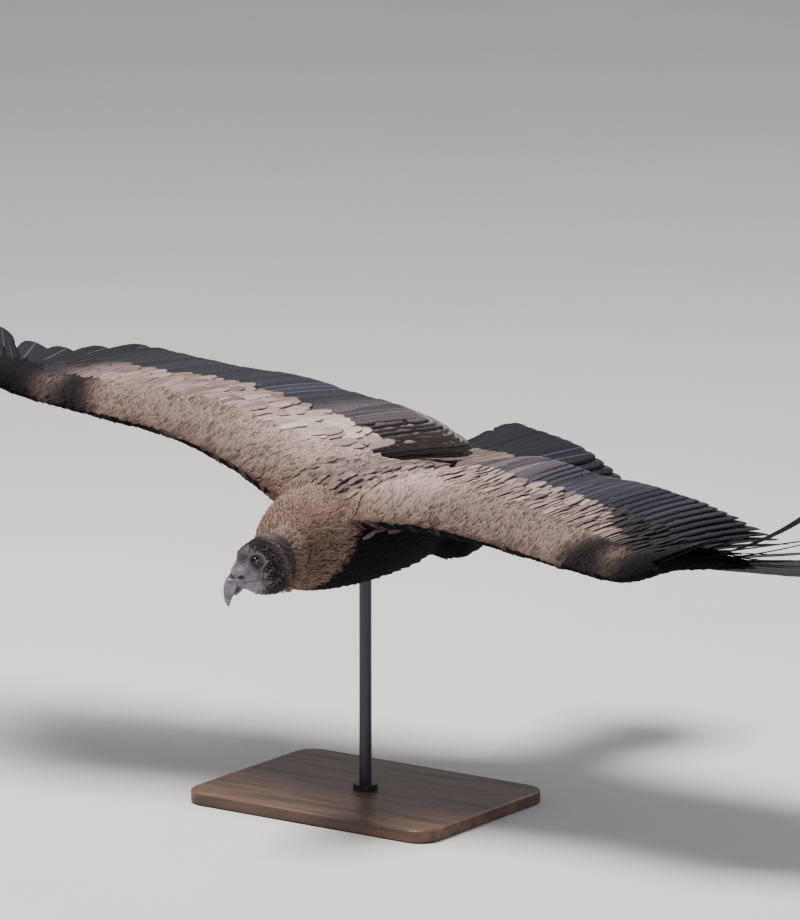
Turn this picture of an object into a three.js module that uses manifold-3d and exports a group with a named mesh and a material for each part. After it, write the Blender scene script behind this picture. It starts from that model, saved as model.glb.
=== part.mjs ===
// A juvenile Andean condor in gliding flight, life size, on a plain display stand.
// Millimetres, +Z up. The part's origin is the centre of the stand's underside.
// The bird is modelled level in a frame of its own: x to its left, y to its tail, z up, from the midpoint
// between the front edges of its two wing roots. It is then banked and lifted onto the stand.
import * as THREE from "three";
import { mergeVertices } from "three/addons/utils/BufferGeometryUtils.js";
import Module from "manifold-3d";

const wasm = await Module();
wasm.setup();

// Driving dimensions
const GAP = 0.35; // between nodes that touch
const BANK_DEG = 8.6; // the left wing is lower
const BIRD_AT = { y: -165, z: 560 }; // the bird's own origin from the stand's
const BASE = { length: 520, width: 380, thick: 24, corner: 40, bevel: 3 };
const ROD = { radius: 11, sides: 24, collar: 22, collarHigh: 10 };
const WING_ROOT_X = 108; // where the wing parts from the shoulder
const WING_ROOT_Y = 330; // behind this its feathers lie free over the back
const NECK_Y = -44; // where the neck parts from the chest
const VANE_THICK = 1.1; // of a flight feather beside its shaft
const SHAFT_THICK = 2.6;
const COVERT_THICK = 1.2;

const LEFT = 1;
const RIGHT = -1;
const SIDES = [
  ["left", LEFT],
  ["right", RIGHT],
];
const UP = new THREE.Vector3(0, 0, 1);
const rad = THREE.MathUtils.degToRad;
const lerp = THREE.MathUtils.lerp;
const V = (x, y, z) => new THREE.Vector3(x, y, z);
const along = (a, b, t) => a.clone().lerp(b, t);

let seed = 20417;
function draw() {
  seed = (seed * 16807) % 2147483647;
  return seed / 2147483647;
}
const varied = (value, share) => value * (1 + share * (2 * draw() - 1));

// A smooth curve through rows of numbers, each row led by its own parameter.
function through(rows) {
  const last = rows.length - 1;
  return (t) => {
    let i = rows.findIndex((row) => t < row[0]) - 1;
    if (i < 0) i = t < rows[0][0] ? 0 : last - 1;
    const before = rows[Math.max(i - 1, 0)];
    const a = rows[i];
    const b = rows[i + 1];
    const after = rows[Math.min(i + 2, last)];
    const step = b[0] - a[0];
    const f = THREE.MathUtils.clamp((t - a[0]) / step, 0, 1);
    return a.slice(1).map((_, k) => {
      const slopeIn = ((b[k + 1] - before[k + 1]) / (b[0] - before[0])) * step;
      const slopeOut = ((after[k + 1] - a[k + 1]) / (after[0] - a[0])) * step;
      const f2 = f * f;
      const f3 = f2 * f;
      const ends = (2 * f3 - 3 * f2 + 1) * a[k + 1] + (3 * f2 - 2 * f3) * b[k + 1];
      return ends + (f3 - 2 * f2 + f) * slopeIn + (f3 - f2) * slopeOut;
    });
  };
}

function solidFrom(points, index) {
  const vertProperties = new Float32Array(points.flatMap((p) => [p.x, p.y, p.z]));
  const faces = (flip) => {
    const order = flip ? [0, 2, 1] : [0, 1, 2];
    return new Uint32Array(index.map((_, i) => index[i - (i % 3) + order[i % 3]]));
  };
  const made = new wasm.Manifold(new wasm.Mesh({ numProp: 3, vertProperties, triVerts: faces(false) }));
  if (made.volume() > 0) return made;
  return new wasm.Manifold(new wasm.Mesh({ numProp: 3, vertProperties, triVerts: faces(true) }));
}

// A closed body through rings of points, each ring with the same count. The quads of the first half of a ring
// and of the second are split alike across the body, so that the two faces of a thin vane can't cross.
function skinned(rings) {
  const n = rings[0].length;
  const index = [];
  for (let i = 0; i + 1 < rings.length; i++) {
    for (let k = 0; k < n; k++) {
      const a = i * n + k;
      const b = i * n + ((k + 1) % n);
      if (k >= n / 2) index.push(a, b, a + n, b, b + n, a + n);
      else index.push(a, b, b + n, a, b + n, a + n);
    }
  }
  const last = (rings.length - 1) * n;
  for (let k = 1; k + 1 < n; k++) {
    index.push(0, k + 1, k);
    index.push(last, last + k, last + k + 1);
  }
  return solidFrom(rings.flat(), index);
}

// A three.js geometry, moved by a matrix, as a solid.
function solidOf(geometry, matrix = new THREE.Matrix4()) {
  const bare = (geometry.index ? geometry.toNonIndexed() : geometry.clone()).applyMatrix4(matrix);
  bare.deleteAttribute("normal");
  bare.deleteAttribute("uv");
  const merged = mergeVertices(bare, 1e-3);
  const p = merged.attributes.position;
  const points = Array.from({ length: p.count }, (_, i) => V(p.getX(i), p.getY(i), p.getZ(i)));
  return solidFrom(points, Array.from(merged.index.array));
}

const joined = (solids) => wasm.Manifold.union(solids);
const largest = (solid) => solid.decompose().sort((a, b) => b.volume() - a.volume())[0];
const moved = (solid, matrix) => solid.transform(matrix.elements);
const box = (from, to) =>
  solidOf(
    new THREE.BoxGeometry(to[0] - from[0], to[1] - from[1], to[2] - from[2]),
    new THREE.Matrix4().makeTranslation((from[0] + to[0]) / 2, (from[1] + to[1]) / 2, (from[2] + to[2]) / 2),
  );

// Points round a centre on an oval whose upper and lower halves differ. Above 2, square makes it fuller.
function oval(centre, side, up, { width, top, bottom, square = 2 }, sides) {
  return Array.from({ length: sides }, (_, k) => {
    const a = (2 * Math.PI * k) / sides;
    const c = Math.cos(a);
    const s = Math.sin(a);
    const x = Math.sign(c) * Math.abs(c) ** (2 / square) * width;
    const z = Math.sign(s) * Math.abs(s) ** (2 / square) * (s > 0 ? top : bottom);
    return centre.clone().addScaledVector(side, x).addScaledVector(up, z);
  });
}

// A tube along a curve given by rows of a parameter, x, y, z, half width and half height.
function tube(rows, steps, sides, grow = 0) {
  const row = through(rows);
  const rings = [];
  for (let i = 0; i <= steps; i++) {
    const t = i / steps;
    const [x, y, z, width, high] = row(t);
    const ahead = row(Math.min(t + 0.02, 1));
    const behind = row(Math.max(t - 0.02, 0));
    const run = V(ahead[0] - behind[0], ahead[1] - behind[1], ahead[2] - behind[2]).normalize();
    const side = V(1, 0, 0).addScaledVector(run, -run.x).normalize();
    const up = V(0, 0, 0).crossVectors(side, run);
    const past = i === 0 ? -grow : i === steps ? grow : 0;
    const size = { width: width + grow, top: high + grow, bottom: high + grow };
    rings.push(oval(V(x, y, z).addScaledVector(run, past), side, up, size, sides));
  }
  return skinned(rings);
}

// The right wing is drawn on the left side and mirrored.
const onSide = (rings, side) => (side === LEFT ? rings : rings.map((ring) => ring.map((p) => V(-p.x, p.y, p.z))));

// Feather outlines: share of the width at rising shares of the length
const BROAD_TIP = [
  [0, 0.5],
  [0.4, 1],
  [0.9, 0.86],
  [1, 0.3],
];
const SLOTTED_TIP = [
  [0, 0.4],
  [0.25, 1],
  [0.5, 0.92],
  [0.64, 0.6],
  [0.88, 0.5],
  [1, 0.14],
];
const COVERT_TIP = [
  [0, 0.6],
  [0.5, 1],
  [0.88, 0.76],
  [1, 0.28],
];

// A feather from its root to its tip. It is arched by bow at its middle, and rolled so that its outer edge lies
// over the inner edge of the feather outside it. With no shaft it is a plain plate.
function feather(spec, side) {
  const { root, tip, up, width, shape = BROAD_TIP, bow = 0, roll = 5, outer = 0.4 } = spec;
  const { thick = VANE_THICK, shaft = SHAFT_THICK } = spec;
  const run = V(0, 0, 0).subVectors(tip, root);
  const length = run.length();
  const forward = run.clone().normalize();
  const across = V(0, 0, 0).crossVectors(forward, up).normalize();
  const normal = V(0, 0, 0).crossVectors(across, forward).normalize();
  const flat = across.clone().applyAxisAngle(forward, rad(-roll));
  const rings = shape.map(([t, w]) => {
    const centre = along(root, tip, t).addScaledVector(normal, 4 * bow * t * (1 - t));
    const tangent = forward.clone().addScaledVector(normal, (4 * bow * (1 - 2 * t)) / length);
    const face = V(0, 0, 0).crossVectors(flat, tangent).normalize();
    const at = (x, z) => centre.clone().addScaledVector(flat, x * width * w).addScaledVector(face, z);
    const edge = thick / 2;
    const mid = (shaft / 2) * lerp(1, 0.45, t);
    if (!shaft) return [at(outer, edge), at(outer - 1, edge), at(outer - 1, -edge), at(outer, -edge)];
    return [
      at(outer, edge),
      at(0, mid),
      at(outer - 1, edge),
      at(outer - 1, -edge),
      at(0, -mid),
      at(outer, -edge),
    ];
  });
  return skinned(onSide(rings, side));
}

// Wings. A place on a wing is given by s, 0 at the body, 1 at the wrist and 1.34 at the hand's end.
const SHOULDER_S = -0.14;
const HAND_END_S = 1.34;
// s, then x, y and z of the front edge, and the turn of the chord outwards in degrees
const FRONT_EDGE = {
  [LEFT]: [
    [SHOULDER_S, 24, 16, -30, 0],
    [0, 96, 9, -6, 2],
    [0.2, 198, 30, 13, 5],
    [0.45, 330, 48, 17, 8],
    [0.8, 520, 38, 26, 11],
    [1, 622, 42, 38, 18],
    [1.15, 690, 84, 71, 34],
    [HAND_END_S, 776, 122, 88, 56],
  ],
  [RIGHT]: [
    [SHOULDER_S, 24, 8, -30, -8],
    [0, 96, 0, 0, -8],
    [0.2, 190, 5, 24, -8],
    [0.45, 330, 10, 37, -6],
    [0.8, 500, -20, 38, -2],
    [1, 618, -52, 46, 6],
    [1.15, 694, -66, 62, 20],
    [HAND_END_S, 784, -60, 88, 44],
  ],
};
// share of the arm from the body out, then x, y and z of the secondaries' tips
const SECONDARY_TIPS = {
  [LEFT]: [
    [0, 66, 556, 6],
    [0.1, 112, 528, 26],
    [0.22, 175, 510, 38],
    [0.35, 262, 502, 40],
    [0.5, 350, 500, 50],
    [0.75, 500, 500, 50],
    [1, 655, 494, 26],
  ],
  [RIGHT]: [
    [0, 60, 556, 6],
    [0.1, 104, 518, 36],
    [0.22, 160, 488, 52],
    [0.35, 235, 462, 58],
    [0.5, 324, 440, 66],
    [0.75, 467, 430, 50],
    [1, 614, 424, 38],
  ],
};
// s, then the flesh's chord, its half thickness, and how far its middle line climbs behind the front edge
const WING_FLESH = [
  [SHOULDER_S, 400, 36, 30],
  [0, 310, 31, 40],
  [0.2, 205, 27, 43],
  [0.45, 170, 22, 44],
  [0.8, 135, 18, 36],
  [1, 104, 17, 24],
  [1.15, 74, 13, 14],
  [HAND_END_S, 34, 7, 6],
];
// feather's number from the wrist out, then its angle outwards from straight back, its slope up, and its length
const PRIMARY_ROWS = {
  [LEFT]: [
    [1, 9, -3, 405],
    [3, 20, -5, 440],
    [5, 36, -4, 515],
    [7, 56, 5, 590],
    [8, 66, 16, 610],
    [9, 75, 31, 595],
    [10, 82, 48, 540],
  ],
  [RIGHT]: [
    [1, 7, -2, 425],
    [3, 25, -7, 450],
    [5, 38, -6, 515],
    [7, 55, 3, 595],
    [8, 65, 13, 610],
    [9, 74, 27, 600],
    [10, 82, 44, 550],
  ],
};
const SECONDARIES = { count: 14, from: 0.06, to: 0.975, seat: 0.72, width: 64, bow: 8, roll: 5, thick: 1.4 };
const GREATER = { every: 1, seat: 0.76, reach: 0.36, lift: 7, width: 54, bow: 3 };
const MEDIAN = { every: 3, seat: 0.52, reach: 0.1, lift: 13, width: 116, bow: 4 };
const PRIMARIES = { count: 10, from: 1.0, to: 1.16, seats: [0.62, 0.3], width: 62, roll: 4, curl: 0.0023 };
const PRIMARY_COVERTS = { every: 2, reach: 0.3, lift: 12, width: 56 };
const ALULA = { count: 2, from: 1.03, to: 1.09, length: 125, width: 30 };

function wingAt(side, s) {
  const [x, y, z, turn] = through(FRONT_EDGE[side])(s);
  const ahead = through(FRONT_EDGE[side])(s + 0.03);
  const behind = through(FRONT_EDGE[side])(s - 0.03);
  const [chord, half, climb] = through(WING_FLESH)(s);
  const out = V(ahead[0] - behind[0], 0, ahead[2] - behind[2]).normalize();
  const up = V(-out.z, 0, out.x);
  const back = V(0, Math.cos(rad(turn)), 0).addScaledVector(out, Math.sin(rad(turn)));
  const middle = (u) => climb * (1 - (1 - Math.min(u / 0.8, 1)) ** 2);
  const front = V(x, y, z);
  const point = (u, h = 0) => front.clone().addScaledVector(back, u * chord).addScaledVector(up, middle(u) + h);
  return { front, out, up, back, chord, half, point };
}

function wingFlesh(side) {
  const steps = 13;
  const around = 6;
  const rings = [];
  for (let i = 0; i <= steps; i++) {
    const wing = wingAt(side, lerp(SHOULDER_S, HAND_END_S, i / steps));
    const at = (u, sign) => {
      const round = Math.sqrt(Math.max(0, 1 - (1 - Math.min(u / 0.3, 1)) ** 2));
      const thin = lerp(1, 0.14, THREE.MathUtils.smoothstep(u, 0.25, 1));
      return wing.point(u, sign * wing.half * round * thin);
    };
    const ring = [];
    for (let k = 0; k < around; k++) ring.push(at((k / around) ** 1.5, 1));
    for (let k = around; k > 0; k--) ring.push(at((k / around) ** 1.5, -1));
    rings.push(ring);
  }
  return skinned(onSide(rings, side));
}

function secondary(side, t) {
  const wing = wingAt(side, lerp(SECONDARIES.from, SECONDARIES.to, t));
  const [x, y, z] = through(SECONDARY_TIPS[side])(t);
  return { wing, root: wing.point(SECONDARIES.seat, -1), tip: V(x, y, z), up: wing.up };
}

function primary(side, t) {
  const wing = wingAt(side, lerp(PRIMARIES.from, PRIMARIES.to, t));
  const [angle, slope, length] = through(PRIMARY_ROWS[side])(1 + t * (PRIMARIES.count - 1));
  const run = V(Math.sin(rad(angle)), Math.cos(rad(angle)), Math.tan(rad(slope))).normalize();
  const root = wing.point(lerp(...PRIMARIES.seats, t), -1);
  return { wing, root, tip: root.clone().addScaledVector(run, length), up: wing.up, slope, length };
}

function wingFeathers(side) {
  const made = [];
  for (let i = 0; i < SECONDARIES.count; i++) {
    const t = i / (SECONDARIES.count - 1);
    const { wing, root, tip, up } = secondary(side, t);
    const bow = SECONDARIES.bow;
    const end = along(root, tip, varied(1, 0.012));
    const vane = { width: SECONDARIES.width, bow, roll: SECONDARIES.roll, thick: SECONDARIES.thick, shaft: 0 };
    made.push(feather({ root, tip: end, up, ...vane }, side));
    for (const row of [GREATER, MEDIAN].filter(({ every }) => i % every === 0)) {
      const seat = wing.point(row.seat, row === GREATER ? wing.half * 0.18 : wing.half * 0.7);
      const end = along(root, tip, varied(row.reach, 0.03)).addScaledVector(up, row.lift + bow * row.reach * 2);
      const plate = { width: row.width, shape: COVERT_TIP, bow: row.bow, thick: COVERT_THICK, shaft: 0 };
      made.push(feather({ root: seat, tip: end, up, ...plate }, side));
    }
  }
  for (let i = 0; i < PRIMARIES.count; i++) {
    const t = i / (PRIMARIES.count - 1);
    const { wing, root, tip, up, slope, length } = primary(side, t);
    const bow = -length * PRIMARIES.curl * Math.max(slope, 0);
    const outline = i >= 4 ? { shape: SLOTTED_TIP, outer: 0.32 } : { outer: 0.36, shaft: 0, thick: 1.6 };
    made.push(feather({ root, tip, up, width: PRIMARIES.width, bow, roll: PRIMARIES.roll, ...outline }, side));
    if (i % PRIMARY_COVERTS.every) continue;
    const seat = wing.point(0.56, wing.half * 0.45);
    const lift = PRIMARY_COVERTS.lift + bow * 0.8;
    const end = along(root, tip, PRIMARY_COVERTS.reach).addScaledVector(up, lift);
    const plate = { width: PRIMARY_COVERTS.width, shape: COVERT_TIP, thick: COVERT_THICK, shaft: 0, roll: 3 };
    made.push(feather({ root: seat, tip: end, up, ...plate }, side));
  }
  for (let i = 0; i < ALULA.count; i++) {
    const t = i / (ALULA.count - 1);
    const wing = wingAt(side, lerp(ALULA.from, ALULA.to, t));
    const root = wing.point(lerp(0.3, 0.12, t), wing.half * 0.5);
    const run = wing.back.clone().applyAxisAngle(wing.up, rad(-lerp(38, 50, t)));
    const tip = root.clone().addScaledVector(run, ALULA.length).addScaledVector(wing.up, 10);
    const plate = { width: ALULA.width, shape: COVERT_TIP, thick: COVERT_THICK, shaft: 0 };
    made.push(feather({ root, tip, up: wing.up, ...plate }, side));
  }
  return made;
}

// Body: y along the back, then the centre's z, half width, height above the centre and depth below it
const BODY_ROWS = [
  [-112, -62, 12, 12, 14],
  [-96, -62, 40, 42, 46],
  [-56, -62, 69, 66, 74],
  [0, -60, 92, 84, 90],
  [90, -60, 100, 94, 98],
  [190, -62, 98, 92, 98],
  [290, -62, 88, 84, 94],
  [370, -60, 70, 68, 82],
  [440, -54, 50, 42, 58],
  [490, -50, 26, 18, 26],
];

function bodyFlesh(grow = 0) {
  const row = through(BODY_ROWS);
  const rings = [];
  const steps = 14;
  for (let i = 0; i <= steps; i++) {
    const y = lerp(BODY_ROWS[0][0] - grow, BODY_ROWS[BODY_ROWS.length - 1][0] + grow, i / steps);
    const [z, width, top, bottom] = row(y);
    const size = { width: width + grow, top: top + grow, bottom: bottom + grow, square: 2.15 };
    rings.push(oval(V(0, y, z), V(1, 0, 0), UP, size, 16));
  }
  return skinned(rings);
}

// Shoulder and rump feathers lie on the back in rows, each further in and further up than the one before.
const SCAPULARS = { rows: 2, perRow: 2, length: 190, width: 92, lift: 15 };
// Others bridge from the rear edge of the wing's root down to the rump: x, y and z of the root, then of the tip.
const BRIDGES = [
  [88, 270, 30, 52, 480, -16],
  [58, 285, 18, 28, 466, -18],
];
const BRIDGE_WIDTH = 62;
const RUMP = { count: 5, from: 430, z: -28, length: 185, width: 56 };
const TAIL_TWIST_DEG = -12;

function scapulars(side) {
  const made = [];
  const row = through(BODY_ROWS);
  for (let j = 0; j < SCAPULARS.rows; j++) {
    for (let i = 0; i < SCAPULARS.perRow; i++) {
      const y = 130 + i * 115 + j * 22;
      const [z, width, top] = row(y);
      const a = rad(42 + j * 30);
      const surface = (ang, yy) => {
        const [z1, w1, t1] = row(yy);
        return V(Math.cos(ang) * w1, yy, z1 + Math.sin(ang) * t1);
      };
      const root = surface(a, y).addScaledVector(UP, -4);
      const end = surface(a, Math.min(y + SCAPULARS.length, 450)).addScaledVector(UP, SCAPULARS.lift);
      const tip = V(end.x, y + varied(SCAPULARS.length, 0.05), end.z);
      const up = V(Math.cos(a) / width, 0, Math.sin(a) / top).normalize();
      const plate = { width: SCAPULARS.width, shape: COVERT_TIP, bow: 3, thick: COVERT_THICK, shaft: 0, roll: 18 };
      made.push(feather({ root, tip, up, ...plate }, side));
    }
  }
  for (const [x, y, z, tipX, tipY, tipZ] of BRIDGES) {
    const plate = { width: BRIDGE_WIDTH, shape: COVERT_TIP, thick: COVERT_THICK, shaft: 0, roll: -16, outer: 0.5 };
    made.push(feather({ root: V(x, y, z), tip: V(tipX, tipY, tipZ), up: UP, ...plate }, side));
  }
  return made;
}

function twisted(solid, z) {
  const there = new THREE.Matrix4().makeTranslation(0, 0, z);
  const turn = new THREE.Matrix4().makeRotationY(rad(-TAIL_TWIST_DEG));
  return moved(solid, there.multiply(turn).multiply(new THREE.Matrix4().makeTranslation(0, 0, -z)));
}

function rumpFeathers() {
  const made = [];
  for (let i = 0; i < RUMP.count; i++) {
    const t = (2 * i) / (RUMP.count - 1) - 1;
    const root = V(Math.abs(t) * 30, RUMP.from - Math.abs(t) * 14, RUMP.z - Math.abs(t) * 8);
    const tip = V(Math.abs(t) * 58, RUMP.from + RUMP.length * (1 - 0.16 * t * t), RUMP.z + 10 - Math.abs(t) * 9);
    const plate = { width: RUMP.width, shape: COVERT_TIP, bow: 5, thick: COVERT_THICK, shaft: 0, outer: 0.5 };
    made.push(feather({ root, tip, up: UP, roll: 4, ...plate }, t < 0 ? RIGHT : LEFT));
  }
  return twisted(joined(made), TAIL.z);
}

// Tail: twelve feathers, the middle pair on top
const TAIL = { count: 12, z: -42, rootY: 430, rootHalf: 50, tipY: 838, spread: 11, yaw: 3, width: 66, drop: 2.4 };

function tailFeathers() {
  const made = [];
  const vane = { bow: 4, roll: 5, outer: 0.42, thick: 1.8, shaft: 0 };
  for (let i = 0; i < TAIL.count; i++) {
    const t = (2 * i) / (TAIL.count - 1) - 1;
    const side = t < 0 ? RIGHT : LEFT;
    const out = Math.abs(t);
    const low = out * ((TAIL.count - 1) / 2) * TAIL.drop;
    const root = V(out * TAIL.rootHalf, TAIL.rootY, TAIL.z + 6 - low);
    const reach = (TAIL.tipY - TAIL.rootY) * (1 - 0.05 * t * t) * varied(1, 0.006);
    const a = rad(TAIL.spread * out + TAIL.yaw * side);
    const tip = V(root.x + Math.tan(a) * reach, TAIL.rootY + reach, TAIL.z + 4 - low);
    made.push(feather({ root, tip, up: UP, width: TAIL.width, ...vane }, side));
  }
  const stump = [
    [0, 0, 395, TAIL.z - 4, 44, 18],
    [0.5, 0, 450, TAIL.z - 5, 50, 15],
    [1, 0, 498, TAIL.z - 6, 40, 8],
  ];
  made.push(tube(stump, 3, 14));
  return twisted(joined(made), TAIL.z);
}

// Head frame: x to the left, y to the nape, z to the crown
const HEAD = { at: V(14, -150, -66), pitch: 28, yaw: -18 };
const headMatrix = new THREE.Matrix4()
  .makeTranslation(HEAD.at.x, HEAD.at.y, HEAD.at.z)
  .multiply(new THREE.Matrix4().makeRotationZ(rad(HEAD.yaw)))
  .multiply(new THREE.Matrix4().makeRotationX(rad(HEAD.pitch)));
// parameter, x, y and z of the middle line, half width and half height
const HEAD_ROWS = [
  [0, 0, 44, -28, 33, 44],
  [0.2, 0, 24, -20, 36, 54],
  [0.42, 0, 1, -10, 36, 53],
  [0.63, 0, -23, -2, 32, 46],
  [0.83, 0, -45, 1, 22, 30],
  [1, 0, -64, 1, 13, 14],
];
const EYE = { x: 21.5, y: -20, z: 22, radius: 7.5, lid: 1.4, openHalf: 5.2 };
const UPPER_BILL = [
  [0, 0, -54, 8, 11, 13],
  [0.25, 0, -64, 0, 12, 13],
  [0.5, 0, -74, -11, 10.5, 11.5],
  [0.75, 0, -82, -23, 7, 8],
  [0.9, 0, -85.5, -33, 3.6, 4.6],
  [1, 0, -86, -40, 1, 1.2],
];
const LOWER_BILL = [
  [0, 0, -40, -14, 8, 5],
  [0.5, 0, -54, -19, 8.5, 5.5],
  [0.85, 0, -65, -25, 5.5, 4],
  [1, 0, -69, -28, 2, 1.6],
];
const HORN_FACE = { normal: V(0, -0.58, -0.815), at: 40.5 }; // where the horn starts on the cere
const MOUTH = [
  // y, z and how far in from the middle the groove reaches
  [-62, -11, 8],
  [-48, -10, 15],
  [-36, -9, 22],
];

const eyeBall = (side, grow = 0) =>
  solidOf(
    new THREE.SphereGeometry(EYE.radius + grow, 10, 6),
    new THREE.Matrix4().makeTranslation(side * EYE.x, EYE.y, EYE.z),
  );

// Lids: a thin cap over each eyeball with an oval opening.
function withLids(head) {
  let made = head;
  for (const [, side] of SIDES) made = made.add(eyeBall(side, GAP + EYE.lid));
  for (const [, side] of SIDES) {
    const opening = new THREE.Matrix4()
      .makeTranslation(side * (EYE.x + 9), EYE.y, EYE.z)
      .multiply(new THREE.Matrix4().makeRotationZ(Math.PI / 2))
      .multiply(new THREE.Matrix4().makeScale(1, 1, 0.85));
    made = made.subtract(eyeBall(side, GAP));
    made = made.subtract(solidOf(new THREE.CylinderGeometry(EYE.openHalf, EYE.openHalf, 14, 10), opening));
  }
  return made;
}

// The line of the mouth runs back from the bill as a shallow groove on each side.
function mouthGroove(side) {
  const ring = ([y, z, x]) => [
    V(side * 40, y, z + 0.7),
    V(side * x, y, z + 0.7),
    V(side * x, y, z - 0.7),
    V(side * 40, y, z - 0.7),
  ];
  return skinned(MOUTH.map(ring));
}

function nostril(side) {
  const place = new THREE.Matrix4()
    .makeTranslation(side * 17, -54, 7)
    .multiply(new THREE.Matrix4().makeScale(1, 1.9, 0.8));
  return solidOf(new THREE.SphereGeometry(3.4, 7, 5), place);
}

const hornPart = (rows, grow, from) => tube(rows, 7, 12, grow).trimByPlane(HORN_FACE.normal.toArray(), from);
const upperBill = (grow = 0) => hornPart(UPPER_BILL, grow, HORN_FACE.at + GAP / 2 - grow);
const lowerBill = (grow = 0) => hornPart(LOWER_BILL, grow, HORN_FACE.at + 2 + GAP / 2 - grow);

function head() {
  let made = withLids(tube(HEAD_ROWS, 9, 16));
  for (const [, side] of SIDES) made = made.subtract(mouthGroove(side)).subtract(nostril(side));
  return made.subtract(upperBill(GAP)).subtract(lowerBill(GAP));
}

// Neck: parameter, x, y, z, half width and half height, from inside the chest to inside the head
const NECK_ROWS = [
  [0, 4, 10, -62, 60, 62],
  [0.35, 11, -46, -64, 52, 62],
  [0.65, 20, -82, -70, 46, 58],
  [0.88, 27, -108, -76, 40, 53],
  [1, 28, -118, -78, 30, 40],
];
const RUFF = { count: 10, width: 40 };

function ruffLocks() {
  const made = [];
  const row = through(NECK_ROWS);
  for (let i = 0; i < RUFF.count; i++) {
    const a = (2 * Math.PI * (i + 0.5)) / RUFF.count;
    const place = (t, h) => {
      const [x, y, z, w, d] = row(t);
      return V(x + Math.cos(a) * (w + h), y, z + Math.sin(a) * (d + h));
    };
    const root = place(0.9, -5);
    const tip = place(varied(0.45, 0.06), 6);
    const up = V(Math.cos(a), 0, Math.sin(a));
    const lock = { width: RUFF.width, shape: COVERT_TIP, bow: 3, thick: 1.6, shaft: 0, outer: 0.5, roll: 6 };
    made.push(feather({ root, tip, up, ...lock }, LEFT));
  }
  return made;
}

// Legs are tucked back under the tail: parameter, x, y, z, half width and half height
const THIGH_ROWS = [
  [0, 56, 290, -106, 34, 40],
  [0.4, 62, 370, -116, 33, 32],
  [0.8, 60, 440, -126, 22, 21],
  [1, 58, 470, -129, 13, 13],
];
const SHANK_ROWS = [
  [0, 59, 440, -129, 9, 9],
  [0.15, 58, 474, -132, 11, 11],
  [0.4, 56, 510, -128, 8, 8.5],
  [0.85, 52, 574, -119, 8, 8],
  [1, 51, 590, -117, 10, 9],
];
const TOES = [
  // angle outwards, length, half thickness, slope down in degrees
  [-22, 70, 6, 10],
  [2, 88, 6.5, 6],
  [26, 66, 6, 10],
  [-75, 24, 5, 30],
];
const TOE_ROOT = V(51, 592, -117);
const FOOT_Y = 582;
const CLAW = { length: 24, radius: 5 };
const CLAW_ROWS = [
  // share of the claw's length, then of its radius
  [-0.3, 1],
  [0.3, 0.95],
  [0.7, 0.6],
  [1, 0.16],
];

function toeRows([turn, length, radius, slope]) {
  const a = rad(turn);
  const run = V(Math.sin(a), Math.cos(a), 0);
  const at = (t, drop) => TOE_ROOT.clone().addScaledVector(run, t * length).addScaledVector(UP, -drop);
  const sink = Math.tan(rad(slope)) * length;
  return [
    [0, ...at(-0.02, 0).toArray(), radius + 1.5, radius + 1.5],
    [0.5, ...at(0.5, sink * 0.2).toArray(), radius, radius],
    [1, ...at(1, sink).toArray(), radius - 0.6, radius - 0.6],
  ];
}

// A toe and its claw part at a plane across the toe's end.
function toeAndClaw(toe) {
  const [turn, , , slope] = toe;
  const run = V(Math.sin(rad(turn)), Math.cos(rad(turn)), 0);
  const end = V(...toeRows(toe)[2].slice(1, 4));
  const cut = end.dot(run) - 2;
  const drop = Math.tan(rad(slope + 18));
  const rows = CLAW_ROWS.map(([t, share], i) => {
    const at = end.clone().addScaledVector(run, t * CLAW.length);
    at.addScaledVector(UP, -CLAW.length * Math.max(t, 0) * (Math.min(drop, 0.55) + 0.35 * t));
    return [i / (CLAW_ROWS.length - 1), ...at.toArray(), CLAW.radius * share, CLAW.radius * share];
  });
  return {
    toe: tube(toeRows(toe), 2, 7).trimByPlane(run.clone().negate().toArray(), -(cut - GAP / 2)),
    claw: tube(rows, 3, 6).trimByPlane(run.toArray(), cut + GAP / 2),
  };
}

// Stand: a flat base with rounded corners and one rod up to the belly
function standBase() {
  const { length, width, corner, thick, bevel } = BASE;
  const [x, y] = [length / 2 - corner, width / 2 - corner];
  const outline = new THREE.Shape();
  outline.absarc(x, y, corner - bevel, 0, Math.PI / 2);
  outline.absarc(-x, y, corner - bevel, Math.PI / 2, Math.PI);
  outline.absarc(-x, -y, corner - bevel, Math.PI, 1.5 * Math.PI);
  outline.absarc(x, -y, corner - bevel, 1.5 * Math.PI, 2 * Math.PI);
  const rounding = { bevelThickness: bevel, bevelSize: bevel, bevelSegments: 1, curveSegments: 5 };
  const geometry = new THREE.ExtrudeGeometry(outline, { depth: thick - 2 * bevel, ...rounding });
  return solidOf(geometry, new THREE.Matrix4().makeTranslation(0, 0, bevel));
}

function standRod(bodyBelow) {
  const upright = new THREE.Matrix4().makeRotationX(Math.PI / 2);
  const from = BASE.thick + GAP;
  const cylinder = (radius, low, high) =>
    solidOf(
      new THREE.CylinderGeometry(radius, radius, high - low, ROD.sides),
      new THREE.Matrix4().makeTranslation(0, 0, (low + high) / 2).multiply(upright),
    );
  const rod = cylinder(ROD.radius, from, BIRD_AT.z - 60);
  return joined([rod, cylinder(ROD.collar, from, from + ROD.collarHigh)]).subtract(bodyBelow);
}

// Assembly
const part = new THREE.Group();
const bird = new THREE.Group();
bird.rotation.y = rad(BANK_DEG);
bird.position.set(0, BIRD_AT.y, BIRD_AT.z);
bird.updateMatrix();
part.add(bird);

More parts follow.
